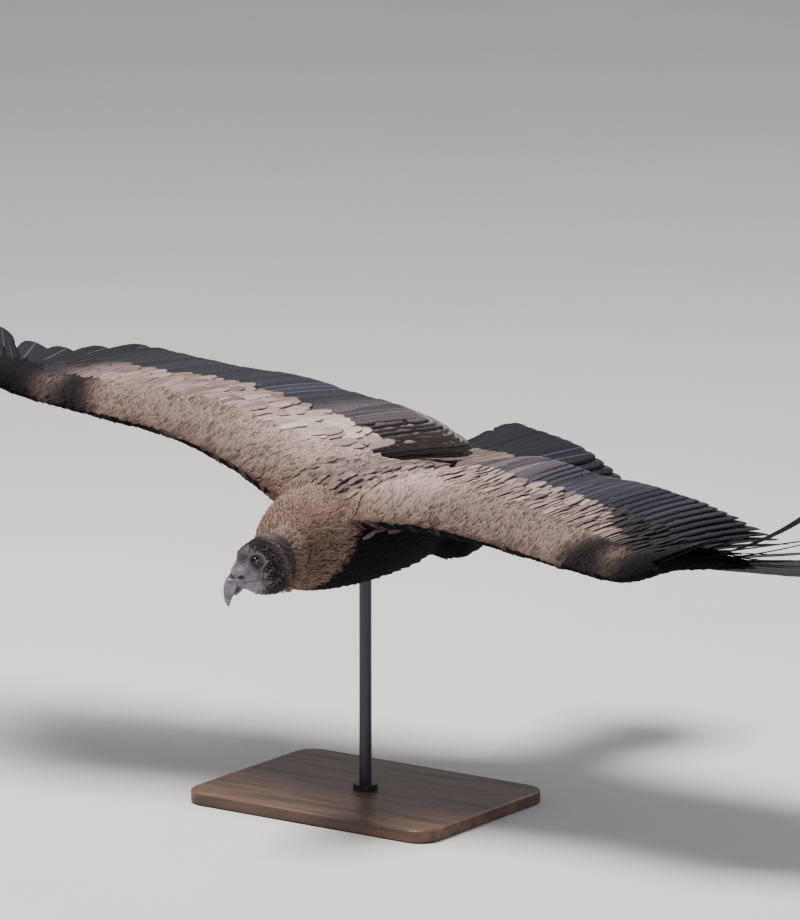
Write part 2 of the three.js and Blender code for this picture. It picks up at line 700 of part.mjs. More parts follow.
function node(name, solid, [color, roughness, metalness = 0], parent = bird) {
  const made = largest(solid).getMesh();
  const positions = new Float32Array(made.numVert * 3);
  for (let i = 0; i < made.numVert; i++) {
    positions.set(made.vertProperties.subarray(i * made.numProp, i * made.numProp + 3), i * 3);
  }
  const geometry = new THREE.BufferGeometry();
  geometry.setAttribute("position", new THREE.BufferAttribute(positions, 3));
  geometry.setIndex(new THREE.BufferAttribute(made.triVerts, 1));
  geometry.computeVertexNormals();
  const mesh = new THREE.Mesh(geometry, new THREE.MeshStandardMaterial({ color, roughness, metalness }));
  mesh.name = name;
  parent.add(mesh);
}

const BROWN = [0x8a7360, 0.9];
const BUFF = [0xb49673, 0.95];
const SLATE = [0x45444a, 0.75];
const NIGHT = [0x2b2c33, 0.7];
const HORN = [0x55565c, 0.35];
const EYE_BLACK = [0x0c0b0b, 0.1];
const STEEL = [0x2a2b2d, 0.4, 0.8];
const WOOD = [0x4a3626, 0.6];

const bodyWide = bodyFlesh(GAP);
const headSolid = moved(head(), headMatrix);
const headWide = moved(tube(HEAD_ROWS, 9, 16, GAP), headMatrix);
const shoulders = { [LEFT]: wingFlesh(LEFT), [RIGHT]: wingFlesh(RIGHT) };
const torsoSide = box([-WING_ROOT_X + GAP / 2, -200, -400], [WING_ROOT_X - GAP / 2, 700, 400]);
const wingless = box([-WING_ROOT_X - GAP / 2, -200, -400], [WING_ROOT_X + GAP / 2, WING_ROOT_Y, 400]);

const torso = joined([bodyFlesh(), shoulders[LEFT], shoulders[RIGHT], ...scapulars(LEFT), ...scapulars(RIGHT)])
  .intersect(torsoSide)
  .add(rumpFeathers());
node("torso", torso.trimByPlane([0, 1, 0], NECK_Y + GAP / 2), BROWN);

const neck = joined([tube(NECK_ROWS, 5, 14), bodyFlesh(), ...ruffLocks()]);
node("neck", neck.trimByPlane([0, -1, 0], -(NECK_Y - GAP / 2)).subtract(headWide), BUFF);
node("head", headSolid, SLATE);
node("bill_upper", moved(upperBill().subtract(lowerBill(GAP)), headMatrix), HORN);
node("bill_lower", moved(lowerBill(), headMatrix), HORN);

for (const [name, side] of SIDES) {
  node(`eye_${name}`, moved(eyeBall(side), headMatrix), EYE_BLACK);
  const wing = joined([shoulders[side], ...wingFeathers(side)]);
  node(`wing_${name}`, wing.subtract(wingless).subtract(bodyWide), BROWN);
}
node("tail", tailFeathers().subtract(bodyWide), NIGHT);

for (const [name, side] of SIDES) {
  const limb = (solid) => (side === LEFT ? solid : solid.mirror([1, 0, 0]));
  const shank = tube(SHANK_ROWS, 6, 10);
  const thigh = tube(THIGH_ROWS, 5, 14).subtract(tube(SHANK_ROWS, 6, 10, GAP));
  const toes = TOES.map(toeAndClaw);
  const foot = joined([shank, ...toes.map(({ toe }) => toe)]).trimByPlane([0, 1, 0], FOOT_Y + GAP / 2);
  node(`thigh_${name}`, limb(thigh.subtract(bodyWide)), BROWN);
  node(`shank_${name}`, limb(shank.trimByPlane([0, -1, 0], -(FOOT_Y - GAP / 2))), SLATE);
  node(`foot_${name}`, limb(foot), SLATE);
  toes.forEach(({ claw }, i) => node(`claw_${name}_${i + 1}`, limb(claw), HORN));
}

const world = (solid) => moved(solid, bird.matrix);
node("stand_base", standBase(), WOOD, part);
node("stand_rod", standRod(world(bodyWide)), STEEL, part);

export default part;
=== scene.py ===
"""A juvenile Andean condor in gliding flight, life size, on a plain display stand.

The bird is drawn level in a frame of its own (x to its left, y to its tail, z up), then banked and lifted.
"""

import math

import bmesh
import bpy
import numpy as np
from mathutils import Matrix, Vector
from mathutils.bvhtree import BVHTree


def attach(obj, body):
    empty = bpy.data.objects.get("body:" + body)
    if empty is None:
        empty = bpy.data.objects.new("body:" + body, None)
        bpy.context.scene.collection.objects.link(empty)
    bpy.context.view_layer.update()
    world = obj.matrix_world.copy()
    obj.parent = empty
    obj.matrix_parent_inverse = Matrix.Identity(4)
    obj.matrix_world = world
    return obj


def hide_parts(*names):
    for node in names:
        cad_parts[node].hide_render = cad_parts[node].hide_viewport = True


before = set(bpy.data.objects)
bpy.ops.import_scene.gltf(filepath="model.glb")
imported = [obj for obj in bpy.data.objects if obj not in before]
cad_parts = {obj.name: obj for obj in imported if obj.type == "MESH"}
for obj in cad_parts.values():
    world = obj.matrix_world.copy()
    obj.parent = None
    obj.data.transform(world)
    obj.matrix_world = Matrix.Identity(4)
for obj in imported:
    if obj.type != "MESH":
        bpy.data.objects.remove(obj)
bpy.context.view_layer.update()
rng = np.random.default_rng(4207)

MM = 0.001
BANK = math.radians(8.6)  # the left wing is lower
BIRD_AT = np.array([0, -0.165, 0.56])
LEFT, RIGHT = 1, -1
SIDES = (("left", LEFT), ("right", RIGHT))
UP = np.array([0.0, 0, 1])
rad = math.radians


def lerp(a, b, t):
    return a + (b - a) * t


def unit(v):
    v = np.asarray(v, float)
    return v / np.maximum(np.linalg.norm(v, axis=-1, keepdims=True), 1e-12)


def on_surface(v, normal):
    """The way of v along a surface."""
    return unit(v - normal * np.sum(v * normal, -1, keepdims=True))


def turns(sides):
    return 2 * np.pi * np.arange(sides) / sides


def ramp(x, low, high):
    t = np.clip((np.asarray(x, float) - low) / (high - low), 0, 1)
    return t * t * (3 - 2 * t)


def spot(x, centre, spread):
    return np.exp(-(((x - centre) / spread) ** 2))


def rolled(p, angle):
    """Turned about the line from bill to tail, the left side down."""
    c, s = math.cos(angle), math.sin(angle)
    return np.stack([p[..., 0] * c + p[..., 2] * s, p[..., 1], p[..., 2] * c - p[..., 0] * s], -1)


def bird(points):
    """From the bird's level frame to the stand's."""
    return rolled(np.asarray(points, float), BANK) + BIRD_AT


def through(rows):
    """A smooth curve through rows of numbers, each row led by its own parameter."""
    rows = np.array(rows, float)
    last = len(rows) - 1

    def at(t):
        i = int(np.clip(np.searchsorted(rows[:, 0], t, side="right") - 1, 0, last - 1))
        before, a, b, after = rows[max(i - 1, 0)], rows[i], rows[i + 1], rows[min(i + 2, last)]
        step = b[0] - a[0]
        f = min(max((t - a[0]) / step, 0), 1)
        slope_in = (b[1:] - before[1:]) / (b[0] - before[0]) * step
        slope_out = (after[1:] - a[1:]) / (after[0] - a[0]) * step
        f2, f3 = f * f, f**3
        ends = (2 * f3 - 3 * f2 + 1) * a[1:] + (3 * f2 - 2 * f3) * b[1:]
        return ends + (f3 - 2 * f2 + f) * slope_in + (f3 - f2) * slope_out

    return at


# Wings, in millimetres: s is 0 at the body, 1 at the wrist and 1.34 at the hand's end.
SHOULDER_S, HAND_END_S = -0.14, 1.34
# s, then x, y and z of the front edge, and the turn of the chord outwards in degrees
FRONT_EDGE = {
    LEFT: [
        (SHOULDER_S, 24, 16, -30, 0), (0, 96, 9, -6, 2), (0.2, 198, 30, 13, 5), (0.45, 330, 48, 17, 8),
        (0.8, 520, 38, 26, 11), (1, 622, 42, 38, 18), (1.15, 690, 84, 71, 34), (HAND_END_S, 776, 122, 88, 56),
    ],
    RIGHT: [
        (SHOULDER_S, 24, 8, -30, -8), (0, 96, 0, 0, -8), (0.2, 190, 5, 24, -8), (0.45, 330, 10, 37, -6),
        (0.8, 500, -20, 38, -2), (1, 618, -52, 46, 6), (1.15, 694, -66, 62, 20), (HAND_END_S, 784, -60, 88, 44),
    ],
}
# share of the arm from the body out, then x, y and z of the secondaries' tips
SECONDARY_TIPS = {
    LEFT: [
        (0, 66, 556, 6), (0.1, 112, 528, 26), (0.22, 175, 510, 38), (0.35, 262, 502, 40), (0.5, 350, 500, 50),
        (0.75, 500, 500, 50), (1, 655, 494, 26),
    ],
    RIGHT: [
        (0, 60, 556, 6), (0.1, 104, 518, 36), (0.22, 160, 488, 52), (0.35, 235, 462, 58), (0.5, 324, 440, 66),
        (0.75, 467, 430, 50), (1, 614, 424, 38),
    ],
}
# s, then the flesh's chord, its half thickness, and how far its middle line climbs behind the front edge
WING_FLESH = [
    (SHOULDER_S, 400, 36, 30), (0, 310, 31, 40), (0.2, 205, 27, 43), (0.45, 170, 22, 44),
    (0.8, 135, 18, 36), (1, 104, 17, 24), (1.15, 74, 13, 14), (HAND_END_S, 34, 7, 6),
]
# number from the wrist out, then angle outwards from straight back, slope up, and length
PRIMARY_ROWS = {
    LEFT: [
        (1, 9, -3, 405), (3, 20, -5, 440), (5, 36, -4, 515), (7, 56, 5, 590), (8, 66, 16, 610),
        (9, 75, 31, 595), (10, 82, 48, 540),
    ],
    RIGHT: [
        (1, 7, -4.5, 410), (3, 25, -9.5, 435), (5, 38, -8, 505), (7, 55, 3, 595), (8, 65, 13, 610),
        (9, 74, 27, 600), (10, 82, 44, 550),
    ],
}
SECONDARIES = {"count": 36, "from": 0.05, "to": 0.985, "seat": 0.72, "width": 58, "bow": 8}
PRIMARIES = {"count": 10, "from": 1.0, "to": 1.16, "seats": (0.62, 0.3), "width": 62, "curl": 0.0023}

THINNEST = 3.4  # half of the flesh at the wing's rear edge
BODY_SQUARE = 2.15  # an oval at 2, squarer above it
# y, then the middle's z, half width, height above it and depth below it
BODY_ROWS = [
    (-112, -62, 12, 12, 14), (-96, -62, 40, 42, 46), (-56, -62, 69, 66, 74), (0, -60, 92, 84, 90),
    (90, -60, 100, 94, 98), (190, -62, 98, 92, 98), (290, -62, 88, 84, 94), (370, -60, 70, 68, 82),
    (440, -54, 50, 42, 58), (490, -50, 26, 18, 26),
]
# share of the way out, then x, y, z, half width and half height, as in the tables after it
NECK_ROWS = [
    (0, 4, 10, -62, 60, 62), (0.35, 11, -46, -64, 52, 62), (0.65, 20, -82, -70, 46, 58),
    (0.88, 27, -108, -76, 40, 53), (1, 28, -118, -78, 30, 40),
]
HEAD_ROWS = [
    (0, 0, 44, -28, 33, 44), (0.2, 0, 24, -20, 36, 54), (0.42, 0, 1, -10, 36, 53),
    (0.63, 0, -23, -2, 32, 46), (0.83, 0, -45, 1, 22, 30), (1, 0, -64, 1, 13, 14),
]
UPPER_BILL = [
    (0, 0, -54, 8, 8, 8), (0.25, 0, -64, 0, 11.5, 12), (0.5, 0, -74, -11, 10.5, 11.5),
    (0.75, 0, -82, -23, 7, 8), (0.9, 0, -85.5, -33, 3.6, 4.6), (1, 0, -86, -40, 1, 1.2),
]
LOWER_BILL = [
    (0, 0, -40, -14, 8, 5), (0.5, 0, -54, -19, 8.5, 5.5), (0.85, 0, -65, -25, 5.5, 4),
    (1, 0, -69, -28, 2, 1.6),
]
HEAD = {"at": np.array([14, -150, -66.0]), "pitch": 28, "yaw": -18}
EYE = {"at": np.array([20.5, -20, 22]), "radius": 7.5, "open": (3.9, 3.4)}
THIGH_ROWS = [
    (0, 52, 300, -96, 24, 26), (0.4, 62, 370, -116, 33, 32), (0.8, 60, 440, -126, 22, 21),
    (1, 58, 470, -129, 13, 13),
]
TAIL = {"count": 12, "z": -42, "root_y": 430, "root_half": 50, "tip_y": 838,
        "spread": 11, "yaw": 3, "twist": 12}

# metres and millimetres of film: how high a view, from how far, and how far right and up of the bird it aims
CAMERA = {"azimuth": 35, "elevation": 12.3, "distance": 15, "film": 36, "view": 920 / 580,
          "aim": (0.155, 0.081)}
# name, place, size, power and tint
LIGHTS = (
    ("key", (-1.2, -0.6, 5.5), 1.8, 640, (1, 0.95, 0.91)),
    ("front", (4.5, -4.5, 2.6), 3.0, 30, (1, 0.96, 0.92)),
    ("rear", (2.5, 5.0, 3.2), 3.0, 60, (0.86, 0.92, 1)),
)


# Shader maths
class Field:
    """A number that changes over a surface, and takes part in Python's arithmetic."""

    def __init__(self, finish, socket):
        self.finish, self.socket = finish, socket

    def math(self, operation, *others, clamp=False):
        node = self.finish.add("ShaderNodeMath", {}, operation=operation, use_clamp=clamp)
        for socket, value in zip(node.inputs, (self, *others)):
            self.finish.join(value, socket)
        return Field(self.finish, node.outputs[0])

    def __add__(self, other):
        return self.math("ADD", other)

    def __sub__(self, other):
        return self.math("SUBTRACT", other)

    def __mul__(self, other):
        return self.math("MULTIPLY", other)

    def __rsub__(self, other):
        return (self * -1).math("ADD", other)

    __radd__, __rmul__ = __add__, __mul__

    def size(self):
        return self.math("ABSOLUTE")

    def clamped(self):
        return self.math("ADD", 0, clamp=True)

    def step(self, low, high):
        """Smoothly from 0 at low to 1 at high, which may be the lesser."""
        node = self.finish.add("ShaderNodeMapRange", {0: self}, interpolation_type="SMOOTHSTEP")
        rising = low < high
        for socket, value in zip(node.inputs[1:5], (min(low, high), max(low, high), 1 - rising, rising)):
            socket.default_value = value
        return Field(self.finish, node.outputs[0])


SOCKETS = {"specular_level": "Specular IOR Level"}


class Finish:
    """One material and its nodes."""

    def __init__(self, name, **constants):
        self.material = bpy.data.materials.new(name)
        self.material.use_nodes = True
        self.tree = self.material.node_tree
        self.shader = self.tree.nodes["Principled BSDF"]
        for key, value in constants.items():
            self.shader.inputs[SOCKETS.get(key, key.replace("_", " ").title())].default_value = value

    def add(self, kind, inputs, **settings):
        node = self.tree.nodes.new(kind)
        for key, value in settings.items():
            setattr(node, key, value)
        for key, value in inputs.items():
            self.join(value, node.inputs[key])
        return node

    def join(self, value, socket):
        if isinstance(value, Field):
            self.tree.links.new(value.socket, socket)
        else:
            socket.default_value = value

    def out(self, node, key=0):
        return Field(self, node.outputs[key])

    def mix(self, share, a, b):
        """Between two colours."""
        node = self.add("ShaderNodeMix", {}, data_type="RGBA")
        for place, value in ((0, share), (6, a), (7, b)):
            self.join(value, node.inputs[place])
        return self.out(node, 2)

    def layers(self, color, *layers):
        """A colour under others, each led by its share."""
        for share, over in layers:
            color = self.mix(share.clamped(), color, over)
        return color

    def split(self, vector):
        node = self.add("ShaderNodeSeparateXYZ", {0: vector})
        return [self.out(node, k) for k in range(3)]

    def place(self, scale=(1, 1, 1)):
        """Object coordinates, scaled."""
        coords = self.out(self.add("ShaderNodeTexCoord", {}), "Object")
        return self.out(self.add("ShaderNodeMapping", {0: coords, 3: scale}))

    def noise(self, vector, scale, detail=3, rough=0.55):
        inputs = {0: vector, "Scale": scale, "Detail": detail, "Roughness": rough}
        return self.out(self.add("ShaderNodeTexNoise", inputs))

    def grain(self, along, scale, detail=2):
        """Noise along one number."""
        inputs = {"W": along, "Scale": scale, "Detail": detail}
        return self.out(self.add("ShaderNodeTexNoise", inputs, noise_dimensions="1D"))

    def marks(self):
        """A feather's warmth, paleness and darkness, the darkness being partly painted shade, and its own tone.
        """
        node = self.add("ShaderNodeAttribute", {}, attribute_name="marks")
        split = self.add("ShaderNodeSeparateColor", {0: self.out(node, "Color")})
        return [self.out(split, k) for k in range(3)] + [self.out(node, "Alpha")]

    def vane(self):
        """Across a feather from -1 to 1, and along it from 0 to 1."""
        uv = self.out(self.add("ShaderNodeUVMap", {}, uv_map="vane"))
        across, along, _ = self.split(uv)
        return across * 2 - 1, along

    def paint(self, color=None, roughness=None, bump=None, strength=0.5, depth=0.001):
        if color is not None:
            self.join(color, self.shader.inputs["Base Color"])
        if roughness is not None:
            self.join(roughness, self.shader.inputs["Roughness"])
        if bump is not None:
            node = self.add("ShaderNodeBump", {"Height": bump, "Strength": strength, "Distance": depth})
            self.tree.links.new(node.outputs[0], self.shader.inputs["Normal"])
        return self.material


def shade(r, g, b):
    """An sRGB colour from 0 to 255 as the linear one that a socket takes."""
    parts = [c / 255 for c in (r, g, b)]
    return (*[p / 12.92 if p < 0.04045 else ((p + 0.055) / 1.055) ** 2.4 for p in parts], 1)


GOLDEN = shade(92, 71, 57)
PINKISH = shade(116, 99, 94)
WORN = shade(226, 204, 194)
DUSKY = shade(42, 32, 31)
# NIGHT is near black: the dark feathers' own colour, and painted shade under the bird and between feathers
NIGHT = shade(9, 10, 16)
SLATE = shade(92, 90, 106)


def coat_finish(name):
    """Small body feathers: a darker middle, a paler worn rim, fine barbs."""
    f = Finish(name, roughness=0.95, specular_level=0.15)
    warm, pale, dark, own = f.marks()
    across, along = f.vane()
    wide = across.size()
    patches = f.noise(f.place(), 14, 3)
    mottle = f.noise(f.place((1, 0.5, 1)), 60, 3)
    rim = (wide * 0.5 + along * 0.8).step(0.8, 1.15)
    streak = (1 - wide).step(0.3, 0.95) * along.step(0.1, 0.7) * (1.1 - pale)
    depth = streak * 0.42 + (patches - 0.5) * 0.7 + (mottle - 0.5) * 1.1
    depth = depth + (own - 0.5) * 0.8 + (1 - along) * 0.22
    lit = 1 - dark
    color = f.layers(
        f.mix(warm, PINKISH, GOLDEN),
        (pale * 0.85 + rim * 0.22 * (1 - dark), WORN),
        (depth * (1 - pale * 0.45), DUSKY),
        # the darkness mark, mostly painted shade under the body and wings, blends the coat to near black
        (1 - lit * lit - rim * dark * 0.06, NIGHT),
    )
    barbs = f.grain(along * 1.3 - wide * 0.35 + own * 7, 60)
    return f.paint(color, bump=barbs * 0.6 - wide * 0.5, strength=0.35, depth=0.0012)


def flight_finish(name, ground, edge):
    """Long feathers: barbs run out and back from the shaft, and the tip and margin are worn."""
    f = Finish(name, specular_level=0.2)
    warm, pale, dark, own = f.marks()
    across, along = f.vane()
    wide = across.size()
    slant = along * 9 - wide * 0.55 + own * 5
    barbs = f.grain(slant, 34, 3)
    coarse = f.grain(slant, 5, 2)
    streaks = f.grain(across * 1.4 + own * 9, 6, 3)
    shaft = wide.step(0.05, 0.02)
    margin = (wide.step(0.9, 0.99) * 0.55 + along.step(0.93, 1.0) * 0.8).clamped()
    # painted shade: a dark band inside each vane's edges, as between overlapping feathers
    line = wide.step(0.62, 0.82) * wide.step(0.97, 0.88)
    lit = 1 - dark
    color = f.layers(
        ground,
        (coarse * 0.35 + own * 0.45 + (streaks - 0.5) * 0.9 - 0.12, edge),
        (pale * (0.3 + coarse * 0.4 + (streaks - 0.5) * 1.2), WORN),
        (warm * 0.6, GOLDEN),
        (line * 0.55, NIGHT),
        (margin * (0.15 + barbs * 0.45) * (1 - dark * 0.6), WORN),
        # the feathers' own darkness, and painted shade on the under-tail coverts, towards near black
        ((1 - lit * lit) * 0.96, NIGHT),
        (shaft * (0.75 - dark * 0.3), SLATE),
    )
    rough = 0.55 + barbs * 0.2 - shaft * 0.2
    return f.paint(color, rough, barbs + shaft * 0.5, strength=0.4, depth=0.0009)


# Mesh pieces
def grid_faces(rows, cols, wrap=False):
    """Quads over a grid of points."""
    r, c = np.meshgrid(np.arange(rows - 1), np.arange(cols if wrap else cols - 1), indexing="ij")
    a, b = r * cols + c, r * cols + (c + 1) % cols
    return np.stack([a, b, b + cols, a + cols], -1).reshape(-1, 4)


def linked(name, data):
    """A new object in the scene."""
    piece = bpy.data.objects.new(name, data)
    bpy.context.scene.collection.objects.link(piece)
    return piece


def from_bmesh(name, bm):
    """A new object from a mesh in the making."""
    mesh = bpy.data.meshes.new(name)
    bm.to_mesh(mesh)
    bm.free()
    return linked(name, mesh)


def dress(mesh, material):
    mesh.materials.clear()
    mesh.materials.append(material)


def finished(piece, material, nodes=()):
    dress(piece.data, material)
    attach(piece, "root")
    if nodes:
        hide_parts(*nodes)
    return piece


def read(mesh, what="co"):
    """Each point's place or normal."""
    values = np.empty(len(mesh.vertices) * 3, np.float32)
    mesh.vertices.foreach_get(what, values)
    return values.reshape(-1, 3).astype(float)


def put_marks(mesh, marks, maps):
    """Marks and maps, both per point."""
    index = np.empty(len(mesh.loops), np.int32)
    mesh.loops.foreach_get("vertex_index", index)
    for label, uv in maps.items():
        mesh.uv_layers.new(name=label).data.foreach_set("uv", uv[index].astype(np.float32).ravel())
    colors = mesh.attributes.new("marks", "FLOAT_COLOR", "POINT")
    colors.data.foreach_set("color", marks.astype(np.float32).ravel())


def mesh_piece(name, points, quads, maps, marks, material, nodes=()):
    """A piece from arrays in millimetres."""
    mesh = bpy.data.meshes.new(name)
    mesh.vertices.add(len(points))
    mesh.vertices.foreach_set("co", bird(points * MM).astype(np.float32).ravel())
    mesh.loops.add(quads.size)
    mesh.loops.foreach_set("vertex_index", quads.astype(np.int32).ravel())
    mesh.polygons.add(len(quads))
    mesh.polygons.foreach_set("loop_start", np.arange(0, quads.size, 4, dtype=np.int32))
    mesh.update(calc_edges=True)
    put_marks(mesh, marks, maps)
    mesh.shade_smooth()
    mesh.validate()
    return finished(linked(name, mesh), material, nodes)


def placed(piece, move=lambda p: p):
    """Takes a mesh drawn in millimetres to its place on the stand."""
    p = bird(move(read(piece.data)) * MM)
    piece.data.vertices.foreach_set("co", p.astype(np.float32).ravel())
    piece.data.update()
    piece.data.shade_smooth()


def tube_rings(rows, steps, sides, grow=0.0):
    """Rings across a bent tube, from rows of its place, half width and half height."""
    row = through(rows)
    a = turns(sides)
    rings = []
    for i in range(steps + 1):
        t = i / steps
        x, y, z, width, high = row(t)
        run = unit(row(min(t + 0.02, 1))[:3] - row(max(t - 0.02, 0))[:3])
        side = unit(np.array([1.0, 0, 0]) - run * run[0])
        centre = np.array([x, y, z]) + run * (-grow if i == 0 else grow if i == steps else 0)
        across = np.outer(np.cos(a) * (width + grow), side)
        rings.append(centre + across + np.outer(np.sin(a) * (high + grow), np.cross(side, run)))
    return rings


def ring_edges(bm, points):
    """A closed loop through points."""
    verts = bmesh.ops.create_circle(bm, segments=len(points), radius=1)["verts"]
    for vert, point in zip(verts, points):
        vert.co = point
    return list({edge for vert in verts for edge in vert.link_edges})


def shell(bm, rings):
    """A closed skin through rings of points."""
    loops = [ring_edges(bm, ring) for ring in rings]
    for a, b in zip(loops, loops[1:]):
        bmesh.ops.bridge_loops(bm, edges=a + b)
    for end in (loops[0], loops[-1]):
        bmesh.ops.edgeloop_fill(bm, edges=end)


def remeshed(name, rings_of, voxel, smooth):
    """The union of closed skins as one even mesh, in the bird's frame and millimetres."""
    bm = bmesh.new()
    for rings in rings_of:
        shell(bm, rings)
    bmesh.ops.recalc_face_normals(bm, faces=bm.faces)
    piece = from_bmesh(name, bm)
    coarse = piece.data
    change = piece.modifiers.new("remesh", "REMESH")
    change.mode, change.voxel_size = "VOXEL", voxel
    piece.modifiers.new("smooth", "SMOOTH").iterations = smooth
    made = bpy.data.meshes.new_from_object(piece.evaluated_get(bpy.context.evaluated_depsgraph_get()))
    piece.modifiers.clear()
    piece.data = made
    bpy.data.meshes.remove(coarse)
    return piece


# Wing places
def wing_at(side, s):
    x, y, z, turn = through(FRONT_EDGE[side])(s)
    ahead, behind = through(FRONT_EDGE[side])(s + 0.03), through(FRONT_EDGE[side])(s - 0.03)
    chord, half, climb = through(WING_FLESH)(s)
    out = unit([ahead[0] - behind[0], 0, ahead[2] - behind[2]])
    up = np.array([-out[2], 0, out[0]])
    back = np.array([0, math.cos(rad(turn)), 0]) + out * math.sin(rad(turn))
    front = np.array([x, y, z])

    def point(u, h=0.0):
        middle = climb * (1 - (1 - min(u / 0.8, 1)) ** 2)
        return front + back * u * chord + up * (middle + h)

    return {"front": front, "out": out, "up": up, "back": back, "chord": chord, "half": half, "point": point}


def on_side(points, side):
    return points if side == LEFT else points * np.array([-1, 1, 1])


def fullness(u):
    """Of the wing at a share of its chord: how round in front, and how thin to the rear."""
    return math.sqrt(max(0, 1 - (1 - min(u / 0.3, 1)) ** 2)), lerp(1, 0.14, ramp(u, 0.25, 1))


def wing_rings(side, inset, steps=30, around=14):
    rings = []
    for i in range(steps + 1):
        wing = wing_at(side, lerp(SHOULDER_S, HAND_END_S, i / steps))

        def at(k, sign):
            u = (k / around) ** 1.5 * 0.97 + 0.012
            rise, thin = fullness(u)
            least = min(THINNEST, wing["half"] * rise)
            return wing["point"](u, sign * max(wing["half"] * rise * thin - inset, least))

        ring = [at(k, 1) for k in range(around)] + [at(k, -1) for k in range(around, 0, -1)]
        rings.append(on_side(np.array(ring), side))
    return rings


def body_rings(grow, steps=30, sides=40):
    row = through(BODY_ROWS)
    a = turns(sides)
    c, s = (np.sign(v) * np.abs(v) ** (2 / BODY_SQUARE) for v in (np.cos(a), np.sin(a)))
    rings = []
    for i in range(steps + 1):
        y = lerp(BODY_ROWS[0][0] - grow, BODY_ROWS[-1][0] + grow, i / steps)
        z, width, top, bottom = row(y)
        width, top, bottom = (max(v + grow, 4) for v in (width, top, bottom))
        rings.append(np.stack([c * width, np.full(sides, y), z + s * np.where(s > 0, top, bottom)], -1))
    return rings


def unwrap(p):
    """A place on the skin's own shape as a place on its map."""
    wing = np.abs(p[:, 0]) > 110
    high = np.zeros(len(p))
    for side in (LEFT, RIGHT):
        row = np.array([through(FRONT_EDGE[side])(s)[:3] for s in np.linspace(0, HAND_END_S, 12)])
        here = wing & (p[:, 0] * side > 0)
        edge = np.interp(np.abs(p[here, 0]), row[:, 0], row[:, 2])
        high[here] = p[here, 2] - edge - np.interp(np.abs(p[here, 0]), [100, 300, 780], [36, 40, 8])
    angle = np.arctan2(p[:, 0], p[:, 2] + 60) / (2 * np.pi) + 0.5
    body = np.stack([0.02 + 0.94 * (p[:, 1] + 260) / 900, 0.52 + 0.46 * angle], -1)
    across = 0.02 + 0.2 * np.clip((p[:, 1] + 130) / 560, 0, 1)
    out = 0.02 + 0.47 * (np.abs(p[:, 0]) - 110) / 720
    spread = np.stack([across + np.where(high > 0, 0, 0.25) + np.where(p[:, 0] > 0, 0, 0.5), out], -1)
    return np.where(wing[:, None], spread, body)


def plumage_marks(p, n):
    """Warmth, paleness, darkness and own tone of the plumage at places on the bird; the darkness is partly
    painted shade under the body and wings.
    """
    x, y, z = p.T
    far = np.abs(x)
    right = (x < 0).astype(float)
    above = ramp(n[:, 2], -0.3, 0.15)
    wing = ramp(far, 95, 150)
    edge = np.where(x > 0, np.interp(far, [96, 330, 620, 776], [9, 48, 42, 122]),
                    np.interp(far, [96, 330, 618, 784], [0, 10, -52, -60]))
    back = (y - edge) / np.interp(far, [96, 330, 620, 776], [300, 190, 130, 60])
    warm = 1 - wing * (0.45 + 0.5 * ramp(back, 0.25, 0.8)) - (1 - wing) * 0.8 * ramp(y, 20, 160)
    pale = 0.06 + wing * 0.4 * ramp(back, 0.3, 0.9) * (1 - 0.4 * ramp(far, 420, 600))
    pale = pale + 0.3 * spot(far, 130, 90) * ramp(back, -0.05, 0.3) * ramp(n[:, 2], 0.3, 0.9)
    pale = pale + right * 0.5 * spot(far, 190, 90) * ramp(back, 0.55, 0.9)
    # painted shade: near black on downward faces and on the flanks below the wings, behind the chest, darker than
    # the brown underparts' own colour
    belly = np.maximum(1 - above, ramp(-z, -2, 16) * (1 - wing)) * ramp(y - 0.55 * (z + 60), -20, 4)
    dark = 0.98 * belly
    wrist = ramp(far - 90 * back, 455, 520) * (1 - 0.65 * spot(far, 575, 26) * spot(back, 0.12, 0.2))
    dark = np.maximum(dark, wrist * (0.8 + 0.15 * ramp(far, 590, 640)))
    # painted shade over the underwing's own dark brown: the wings' downward faces go near black
    dark = np.maximum(dark, (1 - above) * wing * 0.95)
    # painted shade low on the rear of the body
    dark = np.maximum(dark, 0.9 * ramp(-z, 80, 110) * ramp(y, 200, 280))
    buff = 1.4 * ramp(-y, 88, 108) * (1 - wing)
    pale = np.where(wing > 0.5, pale, pale * (1 - 0.8 * ramp(-y, 20, 60))) + buff * 0.06
    return np.stack([np.clip(warm, 0, 1), np.clip(pale, 0, 1), np.clip(dark, 0, 1), np.full(len(p), 0.5)], -1)


# The coat: each small feather follows the skin beneath it.
class Ground:
    """The skin as what feathers lie on."""

    def __init__(self, mesh):
        bm = bmesh.new()
        bm.from_mesh(mesh)
        self.tree = BVHTree.FromBMesh(bm)
        bm.free()
        self.normals = read(mesh, "normal")
        self.faces = [list(face.vertices) for face in mesh.polygons]

    def nearest(self, places):
        """The skin's nearest places, their normals, and how far they are."""
        at, flat, face, gap = zip(*(self.tree.find_nearest(place) for place in places.tolist()))
        soft = np.array([self.normals[self.faces[k]].mean(0) for k in face])
        return np.array(at), unit(soft + 0.2 * np.array(flat)), np.array(gap)


def small_feathers(name, grid, places, marks, finish, nodes=()):
    """A piece of small feathers from a grid: feather, row, three points across."""
    count, rows = grid.shape[:2]
    vane = np.stack(np.meshgrid([0, 0.5, 1], np.linspace(0, 1, rows)), -1)
    vane = np.broadcast_to(vane, (count, rows, 3, 2))
    bake = np.clip(places, 0.004, 0.996)[:, None, None] + (vane - 0.5) * 0.003
    marks = np.broadcast_to(marks[:, None, None], (count, rows, 3, 4))
    quads = (np.arange(count)[:, None, None] * rows * 3 + grid_faces(rows, 3)[:, ::-1]).reshape(-1, 4)
    maps = {"vane": vane.reshape(-1, 2), "OFBake": bake.reshape(-1, 2)}
    return mesh_piece(name, grid.reshape(-1, 3), quads, maps, marks.reshape(-1, 4), finish, nodes)


